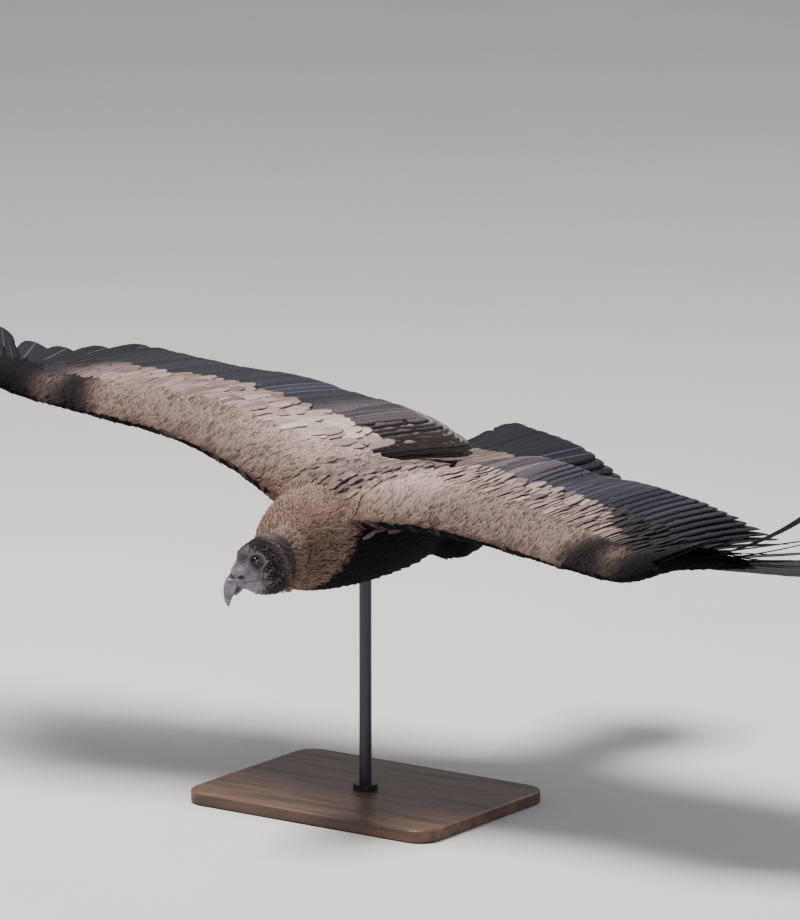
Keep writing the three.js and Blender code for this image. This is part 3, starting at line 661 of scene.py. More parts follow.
class Coat:
    """Small feathers gathered line by line: roots, flow, lengths, widths and heights."""

    def __init__(self):
        self.lines = []

    def line(self, roots, flow, sizes, spreads):
        """Feathers of three sizes, each varied by its own share."""
        count = len(roots)
        varied = [np.full(count, size) * (1 + jitter(count, spread)) for size, spread in zip(sizes, spreads)]
        self.lines.append((roots, np.broadcast_to(flow, roots.shape), *varied))

    def piece(self, name, ground, finish, slot, nodes=(), rows=5, reach=16.0, least=0.0):
        """Each feather laid along the skin from its root; those whose root is off it are left out."""
        roots, *rest = (np.concatenate(v) for v in zip(*self.lines))
        at, normal, gap = ground.nearest(roots)
        at, normal, flow, length, width, height = (a[gap < reach] for a in (at, normal, *rest))
        count = len(at)
        centre, side, lifted = np.empty((3, count, rows, 3))
        place, here = at.copy(), normal.copy()
        run = on_surface(flow, here)
        run = unit(run + rng.normal(0, 0.10, (count, 1)) * np.cross(here, run))
        start = np.linspace(0, 1, rows)
        for k in range(rows):
            if k:
                place = place + run * (length / (rows - 1))[:, None]
                found, turned, gap = ground.nearest(place)
                held = ((gap < 7) & (np.sum(turned * here, -1) > 0.2))[:, None]
                place = np.where(held, found, place)
                here = np.where(held, unit(turned + here), here)
                run = on_surface(run, here)
            centre[:, k] = place + here * (0.8 + height * start[k] ** 0.8)[:, None]
            side[:, k] = unit(np.cross(here, run))
            lifted[:, k] = here
        shape = np.interp(start, [0, 0.25, 0.6, 0.85, 1], [0.55, 0.95, 1, 0.72, 0.2])
        across = np.array([-1, 0, 1.0])
        half = (width / 2)[:, None] * shape * (1 + rng.normal(0, 0.05, (count, rows)))
        grid = centre[:, :, None] + side[:, :, None] * (half[..., None] * across)[..., None]
        grid = grid - lifted[:, :, None] * (half[..., None] * 0.28 * across**2)[..., None]
        marks = plumage_marks(at, normal)
        # least sets a floor on the darkness mark: painted shade on feathers under the wings and thighs
        marks[:, 2] = np.maximum(marks[:, 2], least)
        marks[:, 3] = rng.random(count)
        return small_feathers(name, grid, unwrap(at), marks, finish, nodes)


def jitter(count, spread):
    return rng.uniform(-spread, spread, count)


def angles(around, line, spread):
    """Of a line of feathers round a limb, between those of the line before."""
    return 2 * np.pi * (np.arange(around) + 0.5 * (line % 2)) / around + jitter(around, spread)


def body_coat(ground, finish):
    """Chest, back, belly and flanks."""
    row = through(BODY_ROWS)
    coat = Coat()
    y, line = -92.0, 0
    while y < 474:
        grown = ramp(y, -60, 330)
        wide = lerp(8, 20, grown)
        z, w, top, bottom = row(y)
        around = int(2 * np.pi * math.sqrt((w * w + top * top) / 2) / (wide * 0.62)) + 3
        a = angles(around, line, 0.05)
        s = np.sin(a)
        roots = np.stack([np.cos(a) * w, y + jitter(around, 5), z + s * np.where(s > 0, top, bottom)], -1)
        coat.line(roots, [0.0, 1, 0], (lerp(24, 50, grown), wide, lerp(4, 6, grown)), (0.22, 0.1, 0.4))
        y += wide * 0.5
        line += 1
    coat.piece("body_coat", ground, finish, "plumage", ["torso"])


def neck_coat(ground, finish):
    """Short soft feathers of the neck, and the ruff's locks at the edge of the bare head."""
    row = through(NECK_ROWS)
    coat = Coat()
    for line in range(46):
        t = lerp(0.02, 0.985, line / 45)
        x, y, z, w, d = row(t)
        edge = ramp(t, 0.8, 0.97)
        around = int(lerp(84, 104, edge))
        a = angles(around, line, 0.06)
        c, s, none = np.cos(a), np.sin(a), np.zeros(around)
        roots = np.stack([x + c * w, y + jitter(around, 3), z + s * d], -1)
        swirl = np.sin(a * 5 + t * 14)[:, None] * 0.3 + np.sin(a * 3 - t * 23)[:, None] * 0.2
        flow = np.array([0, 1.0, 0]) + np.stack([c, none, s], -1) * 0.1 + np.stack([-s, none, c], -1) * swirl
        coat.line(roots, flow, (lerp(22, 19, edge), lerp(7, 4.5, edge), lerp(3, 6.5, edge)), (0.3, 0.25, 0.5))
    coat.piece("neck_coat", ground, finish, "ruff", ["neck"])


def wing_coat(side, label, ground, finish):
    """Lesser coverts above in rows that widen to the rear, and lining feathers below."""
    # the lining's least darkness of 0.93 is painted shade over the underwing's own dark colour
    for name, above, lines, broad, least in (("coverts", 1, 34, 1, 0.0), ("lining", -1, 22, 1.4, 0.93)):
        coat = Coat()
        for line in range(lines):
            u = 0.66 * (line / (lines - 1)) ** 1.35
            grown = ramp(u, 0.0, 0.62)
            s = jitter(1, 0.01)[0]
            while s < HAND_END_S - 0.02:
                wing = wing_at(side, s)
                scale = min(1.0, 0.5 + wing["chord"] / 420)
                wide = lerp(9, 21, grown) * scale * broad
                near = u + jitter(1, 0.014)[0] * ramp(u, 0, 0.1)
                root = wing["point"](near, above * wing["half"] * math.prod(fullness(near)))
                sizes = lerp(22, 54, grown) * scale, wide, lerp(3, 5.5, grown)
                coat.line(on_side(root[None], side), on_side(wing["back"], side), sizes, (0.2, 0.15, 0.45))
                s += wide * 0.62 / 560 * (1 + jitter(1, 0.3)[0])
        coat.piece(f"wing_{label}_{name}", ground, finish, "plumage", reach=14, least=least)


def thigh_coat(ground, finish):
    row = through(THIGH_ROWS)
    coat = Coat()
    around = 26
    for line in range(18):
        x, y, z, w, d = row(lerp(0.3, 0.97, line / 17))
        a = angles(around, line, 0.08)
        for side in (LEFT, RIGHT):
            roots = np.stack([side * (x + np.cos(a) * w), y + jitter(around, 3), z + np.sin(a) * d], -1)
            coat.line(roots, [0.0, 1, -0.1], (26, 13, 3), (0.2, 0.1, 0.4))
    nodes = ["thigh_left", "thigh_right"]
    # least=0.95 is painted shade on the thighs under the body
    coat.piece("thigh_coat", ground, finish, "plumage", nodes, reach=14, least=0.95)


# Long feathers: closed vanes with a raised shaft
BROAD = [(0, 0.35), (0.12, 0.8), (0.4, 1), (0.84, 0.96), (0.94, 0.8), (0.98, 0.55), (1, 0.16)]
SLOTTED = [(0, 0.4), (0.2, 0.95), (0.5, 0.95), (0.62, 0.62), (0.88, 0.52), (0.96, 0.34), (1, 0.08)]
SQUARE = [(0, 0.35), (0.12, 0.8), (0.4, 1), (0.9, 0.98), (0.965, 0.88), (0.99, 0.66), (1, 0.3)]
COVERT = [(0, 0.5), (0.3, 0.95), (0.65, 1), (0.85, 0.76), (0.95, 0.46), (1, 0.14)]
ACROSS = np.array([-1, -0.62, -0.26, -0.05, 0, 0.05, 0.26, 0.62, 1.0])


class Vanes:
    """Long feathers of one kind, gathered into one piece."""

    def __init__(self, rows):
        self.rows, self.grids, self.marks = rows, [], []

    def add(self, root, tip, up, width, side=LEFT, shape=BROAD, bow=0.0, roll=5.0, outer=0.4, thick=0.9,
            shaft=1.7, warm=0.0, pale=0.0, dark=0.0, ragged=0.08):
        """A feather from root to tip, bowed and rolled by degrees, with the outer vane's share of its width."""
        rows = self.rows
        root, tip = np.asarray(root, float), np.asarray(tip, float)
        run = tip - root
        length = np.linalg.norm(run)
        forward = unit(run)
        across = unit(np.cross(forward, up))
        normal = unit(np.cross(across, forward))
        angle = rad(-roll)
        flat = across * math.cos(angle) + np.cross(forward, across) * math.sin(angle)
        t = np.linspace(0, 1, rows)[:, None]
        t = 1 - (1 - t) ** 1.25
        centre = root + run * t + normal * (4 * bow * t * (1 - t))
        tangent = unit(forward + normal * (4 * bow * (1 - 2 * t)) / length)
        face = unit(np.cross(flat, tangent))
        share = np.interp(t[:, 0], *np.array(shape).T)
        wobble = np.ones((rows, 2))
        if ragged:
            wobble += rng.normal(0, ragged * 0.25, (rows, 2))
            for _ in range(rng.integers(1, 5)):
                wobble[rng.integers(rows // 3, rows - 1), rng.integers(2)] -= rng.uniform(0.5, 2.2) * ragged
        reach = np.where(ACROSS > 0, outer, 1 - outer)[None] * ACROSS * width * share[:, None]
        reach = reach * np.where(ACROSS > 0, wobble[:, 1:], wobble[:, :1])
        droop = -0.035 * width * share[:, None] * ACROSS**2 * np.where(ACROSS > 0, outer, 1 - outer)
        stem = np.interp(np.abs(ACROSS), [0, 0.06, 0.3, 1], [1, 0.35, 0.1, 0])[None] * shaft / 2 * (1.15 - t)
        skin = np.interp(np.abs(ACROSS), [0, 0.9, 1], [1, 0.8, 0])[None] * thick / 2
        half = np.maximum(stem, skin)
        half[0] = half[-1] = 0
        middle = centre[:, None] + flat * reach[..., None] + face[:, None] * droop[..., None]
        both = np.stack([middle + face[:, None] * half[..., None], middle - face[:, None] * half[..., None]])
        self.grids.append(on_side(both, side))
        self.marks.append((warm, pale, dark, rng.random(), side))

    def piece(self, name, finish, slot, nodes=(), after=lambda p: p):
        rows, cols, count = self.rows, len(ACROSS), len(self.grids)
        grids = after(np.array(self.grids))
        side = np.array([mark[4] for mark in self.marks])
        index = np.arange(2 * rows * cols).reshape(2, rows, cols)
        rim = np.ones((rows, cols), bool)
        rim[1:-1, 1:-1] = False
        index[1][rim] = index[0][rim]
        face = grid_faces(rows, cols)
        top, low = index[0].ravel()[face], index[1].ravel()[face][:, ::-1]
        quads = np.concatenate([top, low])
        mine = (quads if side[k] == RIGHT else quads[:, ::-1] for k in range(count))
        quads = np.concatenate([faces + k * 2 * rows * cols for k, faces in enumerate(mine)])
        points = grids.reshape(-1, 3)
        u, v = np.meshgrid((ACROSS + 1) / 2, np.linspace(0, 1, rows))
        vane = np.broadcast_to(np.stack([u, v], -1), (count, 2, rows, cols, 2)).copy()
        lane = (np.arange(count)[:, None, None, None, None] + 0.06 + 0.88 * vane[..., :1]) / count
        half = np.array([0.01, 0.51])[None, :, None, None, None]
        bake = np.concatenate([lane, half + 0.47 * vane[..., 1:]], -1)
        marks = np.broadcast_to(np.array(self.marks)[:, None, None, None, :4], (count, 2, rows, cols, 4))
        used = np.unique(quads)
        renumber = np.zeros(len(points), int)
        renumber[used] = np.arange(len(used))
        maps = {"vane": vane.reshape(-1, 2)[used], "OFBake": bake.reshape(-1, 2)[used]}
        marks = marks.reshape(-1, 4)[used]
        return mesh_piece(name, points[used], renumber[quads], maps, marks, finish, nodes)


def vary(value, share):
    return value * (1 + rng.uniform(-share, share))


def secondary_at(side, t):
    wing = wing_at(side, lerp(SECONDARIES["from"], SECONDARIES["to"], t))
    return wing, wing["point"](SECONDARIES["seat"], -1), through(SECONDARY_TIPS[side])(t)


def primary_at(side, t):
    wing = wing_at(side, lerp(PRIMARIES["from"], PRIMARIES["to"], t))
    angle, slope, length = through(PRIMARY_ROWS[side])(1 + t * (PRIMARIES["count"] - 1))
    run = unit([math.sin(rad(angle)), math.cos(rad(angle)), math.tan(rad(slope))])
    root = wing["point"](lerp(*PRIMARIES["seats"], t), -1)
    return wing, root, root + run * length, slope, length


def wing_quills(side, label, dark_finish, covert_finish):
    secondaries, primaries, greater, median, hand = (Vanes(rows) for rows in (30, 34, 12, 10, 12))
    count, bow = SECONDARIES["count"], SECONDARIES["bow"]
    for i in range(count):
        t = (i / (count - 1)) ** 1.3
        wing, root, tip = secondary_at(side, t)
        inner = 1 - ramp(t, 0.0, 0.35)
        end = lerp(root, tip, vary(1, 0.012))
        wide = SECONDARIES["width"] * (1 + 0.3 * ramp(t, 0.5, 1))
        pale, dark = 0.75 * inner * rng.random(), 0.2 * (1 - inner) + 0.3 * ramp(t, 0.7, 1)
        secondaries.add(root, end, wing["up"], wide, side, SQUARE, bow, 1.8, thick=0.6, shaft=1.1,
                        warm=0.15 * inner, pale=pale, dark=dark, ragged=0.1)
    # seat on the chord, reach along the secondary, lift, width, arch, number, height of the root, and where
    # the left wing's row turns dark
    rows = ((greater, 0.76, 0.40, 7, 30, 3, 44, 0.18, 0.56), (greater, 0.68, 0.30, 8.5, 24, 3, 52, 0.36, 0.64),
            (median, 0.6, 0.20, 10, 20, 3, 60, 0.5, 0.7), (median, 0.5, 0.12, 11, 18, 3, 66, 0.7, 0.78))
    for vanes, seat, reach, lift, width, arch, number, high, limit in rows:
        for i in range(number):
            t = i / (number - 1)
            wing, root, tip = secondary_at(side, t)
            start = wing["point"](vary(seat, 0.05), wing["half"] * high)
            end = lerp(root, tip, vary(reach, 0.12)) + wing["up"] * (lift + bow * reach * 2) + jitter(3, 3)
            light = vary(0.45 - 0.2 * t, 0.8)
            if side == RIGHT:
                light += 0.7 * spot(t, 0.12, 0.12)
            gloom = 0.95 * (ramp(t, limit, limit + 0.12) if side == LEFT else ramp(t, 0.86, 0.98))
            vanes.add(start, end, wing["up"], width, side, COVERT, arch, thick=0.6, shaft=0.9,
                      warm=0.3 * rng.random(), pale=light, dark=gloom, ragged=0.16)
    for i in range(PRIMARIES["count"]):
        t = i / (PRIMARIES["count"] - 1)
        wing, root, tip, slope, length = primary_at(side, t)
        shape, outer = (SLOTTED, 0.32) if i >= 4 else (BROAD, 0.36)
        arch = -length * PRIMARIES["curl"] * max(slope, 0)
        primaries.add(root, tip, wing["up"], PRIMARIES["width"], side, shape, arch, 4, outer, dark=0.7, shaft=2.6)
        cover = wing["point"](0.56, wing["half"] * 0.45)
        for k in range(2):
            reach = 0.30 - 0.11 * k
            end = lerp(root, tip, vary(reach, 0.04)) + wing["up"] * (8 + 3 * k + arch * 0.8)
            start = cover + wing["up"] * k * 2
            hand.add(start, end, wing["up"], 36, side, COVERT, 2, thick=0.8, shaft=1.2, dark=0.72)
    for i in range(4):
        t = i / 3
        wing = wing_at(side, lerp(1.03, 1.09, t))
        root = wing["point"](lerp(0.3, 0.12, t), wing["half"] * 0.5)
        turn = rad(lerp(38, 50, t))
        run = wing["back"] * math.cos(turn) + np.cross(wing["back"], wing["up"]) * math.sin(turn)
        tip = root + run * 125 + wing["up"] * 10
        hand.add(root, tip, wing["up"], 28, side, COVERT, 2, 6, thick=0.8, shaft=1.6, dark=0.8)
    for name, vanes, finish, nodes in (
        ("secondaries", secondaries, dark_finish, [f"wing_{label}"]),
        ("primaries", primaries, dark_finish, ()),
        ("greater_coverts", greater, covert_finish, ()),
        ("median_coverts", median, covert_finish, ()),
        ("hand_coverts", hand, dark_finish, ()),
    ):
        vanes.piece(f"wing_{label}_{name}", finish, "plumage", nodes)


def twisted(points):
    """The tail is turned about its own length."""
    middle = np.array([0, 0, TAIL["z"]])
    return rolled(points - middle, rad(TAIL["twist"])) + middle


def tail_quills(dark_finish, covert_finish):
    tail, coverts, below = Vanes(30), Vanes(12), Vanes(12)
    for i in range(TAIL["count"]):
        t = 2 * i / (TAIL["count"] - 1) - 1
        side, out = (RIGHT if t < 0 else LEFT), abs(t)
        low = out * (TAIL["count"] - 1) / 2 * 2.4
        root = np.array([out * TAIL["root_half"], TAIL["root_y"], TAIL["z"] + 6 - low])
        reach = (TAIL["tip_y"] - TAIL["root_y"]) * (1 - 0.05 * t * t) * vary(1, 0.006)
        a = rad(TAIL["spread"] * out + TAIL["yaw"] * side)
        tip = np.array([root[0] + math.tan(a) * reach, TAIL["root_y"] + reach, TAIL["z"] + 4 - low])
        tail.add(root, tip, UP, 66, side, BROAD, 4, 4, 0.42, dark=0.5, ragged=0.1, shaft=2)
    for line in range(3):
        for i in range(11):
            t = 2 * i / 10 - 1
            side, out = (RIGHT if t < 0 else LEFT), abs(t)
            reach = lerp(185, 110, line / 2) * (1 - 0.16 * t * t)
            start = 430 - out * 14 - line * 16
            for vanes, sign in ((coverts, 1), (below, -1)):
                high = -28 - out * 8 + line * 3 if sign > 0 else -58 - out * 5 - line * 5
                root = np.array([out * 34, start, high])
                drop = 10 - out * 9 + line * 4 if sign > 0 else -22 - line * 5
                tip = np.array([out * 62, start + vary(reach, 0.05), (-28 if sign > 0 else -42) + drop])
                # the under coverts' darkness of 0.8 is painted shade below the tail, over their own brown
                light = dict(pale=0.25, warm=0.2, dark=0.1) if sign > 0 else dict(dark=0.8)
                vanes.add(root, tip, UP * sign, 34, side, COVERT, 5, 4, 0.5, 0.8, 1.6, ragged=0.14, **light)
    tail.piece("tail_quills", dark_finish, "tail_feather", ["tail"], twisted)
    coverts.piece("tail_upper_coverts", covert_finish, "plumage", (), twisted)
    below.piece("tail_under_coverts", covert_finish, "plumage", (), twisted)


def shoulder_quills(finish):
    """Long loose feathers over the back between the wings."""
    vanes = Vanes(12)
    row = through(BODY_ROWS)
    for line in range(11):
        for i in range(13):
            y = 40 + i * 31 + (line % 2) * 15 + jitter(1, 6)[0]
            z, width, top, _ = row(y)
            a = rad(18 + line * 7.6 + jitter(1, 3)[0])
            grown = lerp(0.36, 1, ramp(y, 30, 190))
            long = vary(lerp(112, 84, line / 10), 0.15) * grown
            z2, width2, top2, _ = row(min(y + long, 470))
            root = np.array([math.cos(a) * width, y, z + math.sin(a) * top - 3])
            tip = np.array([math.cos(a) * width2, y + long, z2 + math.sin(a) * top2 + vary(5, 0.4)])
            up = unit([math.cos(a) / width, 0, math.sin(a) / top])
            for side in (LEFT, RIGHT):
                vanes.add(root, tip, up, 26 * grown, side, COVERT, 3, 5, 0.45, 0.6, 0.9, ragged=0.14,
                          warm=0.4 * rng.random(), pale=0.1 + 0.5 * rng.random() ** 2, dark=0.2 * rng.random())
    for k in range(18):
        t = k / 17
        for side in (LEFT, RIGHT):
            root = lerp(np.array([122, 215, 36]), np.array([50, 300, 10]), t) + jitter(3, 3)
            tip = lerp(np.array([96, 485, 12]), np.array([20, 508, -14]), t) + jitter(3, 6)
            vanes.add(root, tip, UP, 32, side, COVERT, 4, -6, 0.5, 0.8, 1.2, warm=0.15, ragged=0.22,
                      pale=0.2 + 0.4 * rng.random(), dark=0.25 * rng.random())
    vanes.piece("shoulder_feathers", finish, "plumage")


# Head
def head_to_bird(points):
    pitch, yaw = rad(HEAD["pitch"]), rad(HEAD["yaw"])
    turn = Matrix.Rotation(yaw, 3, "Z") @ Matrix.Rotation(pitch, 3, "X")
    return points @ np.array(turn).T + HEAD["at"]


def head_unwrap(x, y, z):
    return np.stack([(y + 70) / 130, np.arctan2(x, z) / 6.4 + 0.5], -1)


def skin_maps(places):
    return {"vane": np.full((len(places), 2), 0.5), "OFBake": places}


def head_skin():
    """Dark bare skin with folds, deep-set eyes, nostrils and ear slits."""
    piece = remeshed("head_skin", [tube_rings(HEAD_ROWS, 30, 48, -0.6)], 1.25, 6)
    p, n = read(piece.data), read(piece.data, "normal")
    x, y, z = p.T
    far = np.abs(x)
    e = EYE["at"]
    from_eye = np.hypot(y - e[1], (z - e[2]) * 1.15)
    sides = ramp(far, 12, 22)
    push = np.zeros(len(p))
    push -= 6.2 * spot(from_eye, 0, 4.9) * sides
    push -= 1.6 * spot(from_eye, 9.5, 3.5) * sides
    push += 2.6 * spot(from_eye, 13.5, 3.4) * sides * ramp(z, e[2] - 2, e[2] + 9)
    push += 0.8 * spot(from_eye, 12.5, 2.6) * sides
    push -= 4.6 * spot(y, -45, 13) * ramp(z, 8, 26)
    push -= 3.4 * spot(y, -60, 9) * ramp(z, 2, 9)
    push -= 1.6 * spot(z - y * 0.2, 2, 4) * spot(y, -28, 16) * sides
    ear = np.hypot((y - 8) / 4.5, (z - 4) / 8)
    push -= 4.5 * spot(ear, 0, 0.8) * sides
    push += 1.6 * spot(ear, 1.7, 0.5) * sides
    jaw = spot(z - (-9 - (y + 30) * 0.18), 0, 1.6) * ramp(-y, 14, 26) * ramp(far, 4, 10)
    push -= 1.3 * jaw
    folds = np.sin(y * 0.62 + z * 0.5 + 1.6 * np.sin(z * 0.16)) * ramp(y, -6, 16)
    throat = np.sin(y * 0.8 + far * 0.25) * ramp(-z, 18, 34)
    push += 0.75 * folds * (1 - spot(ear, 0, 1.5)) + 0.6 * throat
    crease = np.sin((y + 24) * 0.9 - far * 0.12) * spot(y, -26, 14) * ramp(z, 34, 44)
    push += 0.45 * crease
    nose = np.hypot((y + 54) / 5.4, (z - 7) / 2.6)
    push -= 4.2 * spot(nose, 0, 0.9) * ramp(far, 5, 9)
    push += 0.9 * spot(nose, 1.7, 0.45) * ramp(far, 5, 9)
    p = p + n * push[:, None]
    face = ramp(-y, 18, 42)
    crown = ramp(z - 0.2 * y, 30, 40) * (1 - 0.75 * ramp(-y, 50, 60))
    # the darkness mark: the crown's own dark skin, painted shade in the groove round each eye, the ear hollows,
    # the nostrils and the gape crease, and darker towards the neck and under the chin
    dark = np.clip(crown * 0.8 + spot(from_eye, 9, 5) * sides * 0.6 + spot(ear, 0, 1.0) * sides + jaw * 0.2
                   + spot(nose, 0, 0.9) + ramp(y, 6, 24) * 0.9 + 0.7 * ramp(-z, 26, 40) * ramp(y, -40, -16), 0, 1)
    rim = spot(from_eye, 17, 5) * sides * ramp(y, -20, -6)
    pale = np.clip(face * 0.55 + rim * 0.6, 0, 1)
    marks = np.stack([0.3 * ramp(y, 6, 30), pale, dark, np.full(len(p), 0.5)], -1)
    piece.data.vertices.foreach_set("co", p.astype(np.float32).ravel())
    put_marks(piece.data, marks, skin_maps(head_unwrap(x, y, z)))
    ground = Ground(piece.data)
    placed(piece, head_to_bird)
    finished(piece, bare_skin_finish(), ["head"])
    return ground


def bare_skin_finish():
    f = Finish("bare_skin", roughness=0.6, specular_level=0.4)
    warm, pale, dark, _ = f.marks()
    fine = f.noise(f.place(), 420, 4)
    blotch = f.noise(f.place(), 90, 3)
    color = f.layers(
        shade(52, 48, 54),
        (blotch.step(0.35, 0.65), shade(104, 99, 109)),
        (pale * (0.2 + fine.step(0.4, 0.62) * 0.7), shade(158, 154, 168)),
        (warm * (blotch - 0.1), shade(96, 78, 68)),
        # the darkness mark: dark crown, and painted shade in the eye grooves, ears, nostrils and gape
        (dark * (1.15 - fine * 0.4), shade(24, 21, 24)),
    )
    return f.paint(color, 0.5 + fine * 0.25, fine + blotch * 0.6, strength=0.6, depth=0.0011)


def bill_finish():
    f = Finish("bill_horn", coat_weight=0.7, coat_roughness=0.12)
    bands = f.noise(f.place((60, 60, 240)), 1.4, 3)
    cloudy = f.noise(f.place(), 70, 3)
    clouds = cloudy.step(0.3, 0.62), shade(124, 122, 136)
    color = f.layers(shade(50, 49, 57), clouds, (bands - 0.3, shade(92, 90, 102)))
    return f.paint(color, 0.18 + bands * 0.16, bands * 0.4 + cloudy * 0.4, strength=0.25, depth=0.0006)


def smooth_tube(name, rows, steps, sides, material, nodes, move, cut):
    """A bent tube, cut off behind a plane: its normal, and how far it is."""
    bm = bmesh.new()
    shell(bm, tube_rings(rows, steps, sides))
    bmesh.ops.recalc_face_normals(bm, faces=bm.faces)
    normal, distance = cut
    geometry = bm.verts[:] + bm.edges[:] + bm.faces[:]
    at = Vector(normal) * distance
    bmesh.ops.bisect_plane(bm, geom=geometry, plane_co=at, plane_no=normal, clear_inner=True)
    bmesh.ops.holes_fill(bm, edges=[edge for edge in bm.edges if edge.is_boundary], sides=0)
    piece = from_bmesh(name, bm)
    placed(piece, move)
    return finished(piece, material, nodes)


def eyes_and_lids():
    f = Finish("eye_gloss", roughness=0.08, specular_level=0.25, coat_weight=0.35, coat_roughness=0.02)
    iris = f.noise(f.place(), 300, 3)
    gloss = f.paint(f.mix(iris, shade(4, 3, 3), shade(16, 11, 9)))
    lid = Finish("eyelid", roughness=0.5)
    wrinkled = lid.noise(lid.place(), 600, 3)
    lid_color = lid.mix(wrinkled, shade(44, 40, 44), shade(92, 86, 94))
    lid_paint = lid.paint(lid_color, bump=wrinkled, strength=0.5, depth=0.0006)
    for label, side in SIDES:
        bm = bmesh.new()
        bmesh.ops.create_uvsphere(bm, u_segments=40, v_segments=24, radius=EYE["radius"])
        eye = from_bmesh(f"eye_{label}", bm)
        centre = EYE["at"] * [side, 1, 1]
        placed(eye, lambda p: head_to_bird(p + centre))
        finished(eye, gloss, [f"eye_{label}"])
        a = turns(40)
        y, z = EYE["open"][0] * np.cos(a), EYE["open"][1] * np.sin(a)
        out = np.sqrt(np.maximum(EYE["radius"] ** 2 - y**2 - z**2, 4)) + 0.3
        rim = np.stack([side * out, y, z], -1)
        smooth_loop(f"lid_{label}", rim, 10, 1.15, lid_paint, lambda p: head_to_bird(p + centre))


def smooth_loop(name, centre, sides, radius, material, move):
    """A round cord closed on itself, as a lid's rim."""
    bm = bmesh.new()
    a = turns(sides)
    loops = []
    for i, place in enumerate(centre):
        run = unit(centre[(i + 1) % len(centre)] - centre[i - 1])
        out = unit(np.cross(run, [1.0, 0, 0]))
        up = np.cross(out, run)
        loops.append(ring_edges(bm, place + (np.outer(np.cos(a), out) + np.outer(np.sin(a), up)) * radius))
    for i, loop in enumerate(loops):
        bmesh.ops.bridge_loops(bm, edges=loop + loops[(i + 1) % len(loops)])
    bmesh.ops.recalc_face_normals(bm, faces=bm.faces)
    piece = from_bmesh(name, bm)
    placed(piece, move)
    return finished(piece, material)


def stand_finishes():
    wood = Finish("walnut", coat_weight=0.2, coat_roughness=0.3)
    rings = wood.noise(wood.place((3, 26, 26)), 1.5, 5)
    pores = wood.noise(wood.place((20, 420, 420)), 1, 2)
    color = wood.mix(rings.step(0.3, 0.7), shade(52, 36, 26), shade(104, 74, 52))
    color = wood.mix(pores.step(0.62, 0.75) * 0.5, color, shade(30, 20, 15))
    wood.paint(color, 0.42 + pores * 0.2, pores, strength=0.25, depth=0.0005)
    steel = Finish("dark_steel", metallic=0.9)
    brushed = steel.noise(steel.place((900, 900, 12)), 1, 3)
    color = steel.mix(brushed, shade(46, 47, 50), shade(82, 83, 88))
    steel.paint(color, 0.32 + brushed * 0.2, brushed, 0.15, 0.0003)
    for node, finish in (("stand_base", wood), ("stand_rod", steel)):
        dress(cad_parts[node].data, finish.material)


def leg_finishes():
    scaly = Finish("leg_skin", roughness=0.6)
    cell = scaly.add("ShaderNodeTexVoronoi", {0: scaly.place(), "Scale": 230})
    size = scaly.out(cell, "Distance")
    color = scaly.mix(size.step(0.1, 0.6), shade(88, 84, 92), shade(46, 43, 48))
    leg = scaly.paint(color, 0.5 + size * 0.3, 1 - size, strength=0.6, depth=0.001)
    claw = Finish("claw_horn", roughness=0.3)
    grown = claw.noise(claw.place((160, 60, 160)), 1, 3)
    color = claw.mix(grown, shade(24, 22, 24), shade(62, 58, 62))
    horn = claw.paint(color, 0.28 + grown * 0.2, grown, 0.2, 0.0004)
    for name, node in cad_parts.items():
        if name.startswith(("shank_", "foot_", "claw_")):
            dress(node.data, horn if name.startswith("claw_") else leg)
            node.data.shade_smooth()


def main_skin(finish):
    thigh = tube_rings(THIGH_ROWS, 14, 24, -5)
    parts = [body_rings(-7.0), tube_rings(NECK_ROWS, 14, 36, -6), wing_rings(LEFT, 4), wing_rings(RIGHT, 4),
             thigh, [on_side(ring, RIGHT) for ring in thigh]]
    piece = remeshed("skin", parts, 4.5, 4)
    p, n = read(piece.data), read(piece.data, "normal")
    # the skin carries the plumage marks, painted shade under the body and wings included
    put_marks(piece.data, plumage_marks(p, n), skin_maps(np.clip(unwrap(p), 0, 1)))
    ground = Ground(piece.data)
    placed(piece)
    nodes = ["torso", "neck", "wing_left", "wing_right", "thigh_left", "thigh_right"]
    finished(piece, finish, nodes)
    return ground


def head_down(ground, finish):
    """Sparse short down on the back of the head and the cheeks."""
    row = through(HEAD_ROWS)
    roots = []
    for line in range(34):
        _, y, z, w, d = row(lerp(0.17, 0.6, line / 33))
        around = 46
        a = angles(around, line, 0.06)
        roots.append(np.stack([np.cos(a) * w, y + jitter(around, 1.5), z + np.sin(a) * d], -1))
    roots = np.concatenate(roots)
    e = EYE["at"]
    from_eye = np.hypot(roots[:, 1] - e[1], roots[:, 2] - e[2])
    bare = ramp(-roots[:, 1], 0, 24)
    keep = (from_eye > 15) & (rng.random(len(roots)) > bare * 0.8)
    roots = roots[keep]
    count = len(roots)
    at, normal, _ = ground.nearest(roots)
    run = on_surface(np.array([0, 1.0, -0.15]), normal)
    side = np.cross(normal, run)
    t = np.array([0, 0.5, 1.0])[None, :, None, None]
    across = np.array([-1.0, 0, 1])[None, None, :, None]
    long = (5 + jitter(count, 1.6))[:, None, None, None]
    wide = (1.3 + jitter(count, 0.4))[:, None, None, None] * np.array([0.8, 1, 0.25])[None, :, None, None]
    grid = at[:, None, None] + run[:, None, None] * long * t + side[:, None, None] * across * wide
    grid = grid + normal[:, None, None] * (0.2 + 1.5 * t - 0.25 * across**2)
    back = ramp(roots[:, 1], 4, 30)
    marks = np.stack([0.3 + 0.5 * back, 0.25 + 0.2 * back, 0.75 - 0.45 * back, rng.random(count)], -1)
    return small_feathers("head_down", head_to_bird(grid), head_unwrap(*at.T), marks, finish)


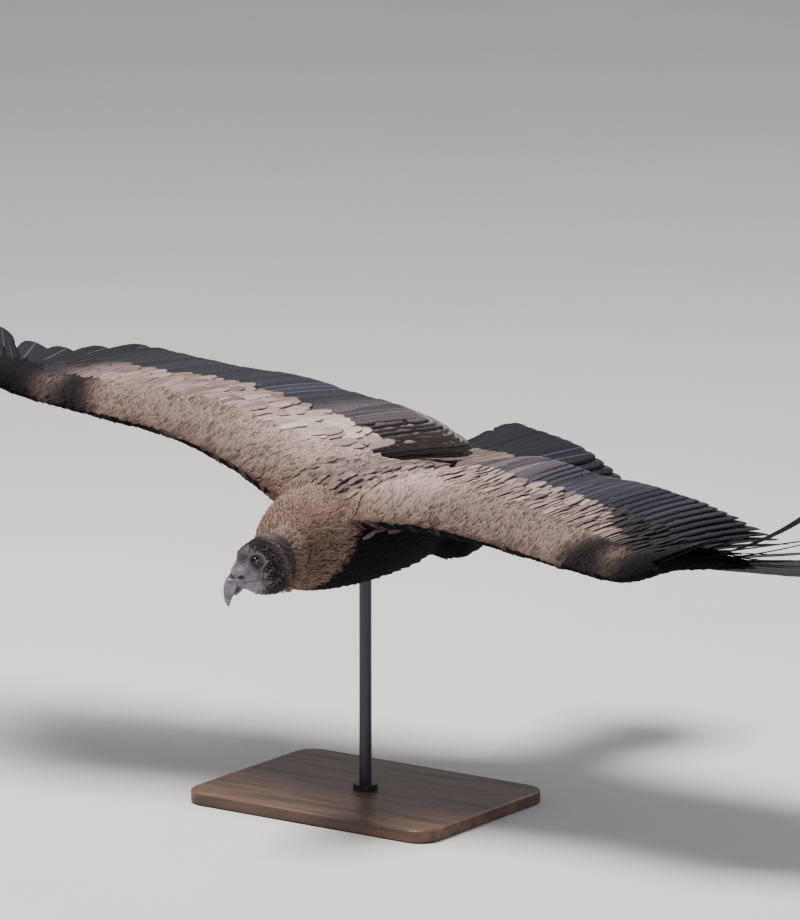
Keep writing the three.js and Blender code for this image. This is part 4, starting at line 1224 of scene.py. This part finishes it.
def camera_and_light():
    a, e, far = rad(CAMERA["azimuth"]), rad(CAMERA["elevation"]), CAMERA["distance"]
    right = Vector((math.cos(a), math.sin(a), 0))
    toward = Vector((math.sin(a) * math.cos(e), -math.cos(a) * math.cos(e), math.sin(e)))
    up = toward.cross(right)
    data = bpy.data.cameras.new("camera")
    data.lens, data.sensor_width, data.clip_end = CAMERA["film"] * far / CAMERA["view"], CAMERA["film"], 100
    camera = linked("camera", data)
    camera.location = Vector(BIRD_AT) + right * CAMERA["aim"][0] + up * CAMERA["aim"][1] + toward * far
    camera.rotation_euler = toward.to_track_quat("Z", "Y").to_euler()
    bpy.context.scene.camera = camera
    for name, at, size, power, tint in LIGHTS:
        light = bpy.data.lights.new(name, "AREA")
        light.size, light.energy, light.color = size, power, tint
        lamp = linked(name, light)
        lamp.location = at
        lamp.rotation_euler = (Vector(at) - Vector((0, 0, 0.6))).to_track_quat("Z", "Y").to_euler()
    world = bpy.data.worlds.new("studio")
    world.use_nodes = True
    sky = world.node_tree.nodes["Background"]
    sky.inputs[0].default_value, sky.inputs[1].default_value = (0.86, 0.85, 0.88, 1), 0.5
    bpy.context.scene.world = world
    bm = bmesh.new()
    bmesh.ops.create_grid(bm, x_segments=1, y_segments=1, size=40)
    floor = from_bmesh("floor", bm)
    pale = Finish("floor_paper", roughness=0.9)
    tint = pale.noise(pale.place(), 1.5, 2)
    dress(floor.data, pale.paint(pale.mix(tint, shade(206, 202, 202), shade(212, 209, 210))))


camera_and_light()
stand_finishes()
leg_finishes()
coat_paint = coat_finish("contour_feathers")
dark_quill = flight_finish("dark_quills", shade(22, 24, 36), shade(70, 68, 84))
pale_quill = flight_finish("brown_quills", shade(70, 56, 52), shade(138, 114, 106))
skin_ground = main_skin(coat_paint)
body_coat(skin_ground, coat_paint)
neck_coat(skin_ground, coat_paint)
thigh_coat(skin_ground, coat_paint)
shoulder_quills(pale_quill)
for name, side in SIDES:
    wing_coat(side, name, skin_ground, coat_paint)
    wing_quills(side, name, dark_quill, pale_quill)
tail_quills(dark_quill, pale_quill)
head_ground = head_skin()
head_down(head_ground, coat_paint)
eyes_and_lids()
horn_paint = bill_finish()
FACE = (0, -0.58, -0.815)  # the way the face looks, across which the bill is cut
for name, rows, steps, sides, node, distance in (
    ("bill_hook", UPPER_BILL, 30, 32, "bill_upper", 33),
    ("bill_below", LOWER_BILL, 20, 28, "bill_lower", 42.5),
):
    smooth_tube(name, rows, steps, sides, horn_paint, [node], head_to_bird, (FACE, distance))
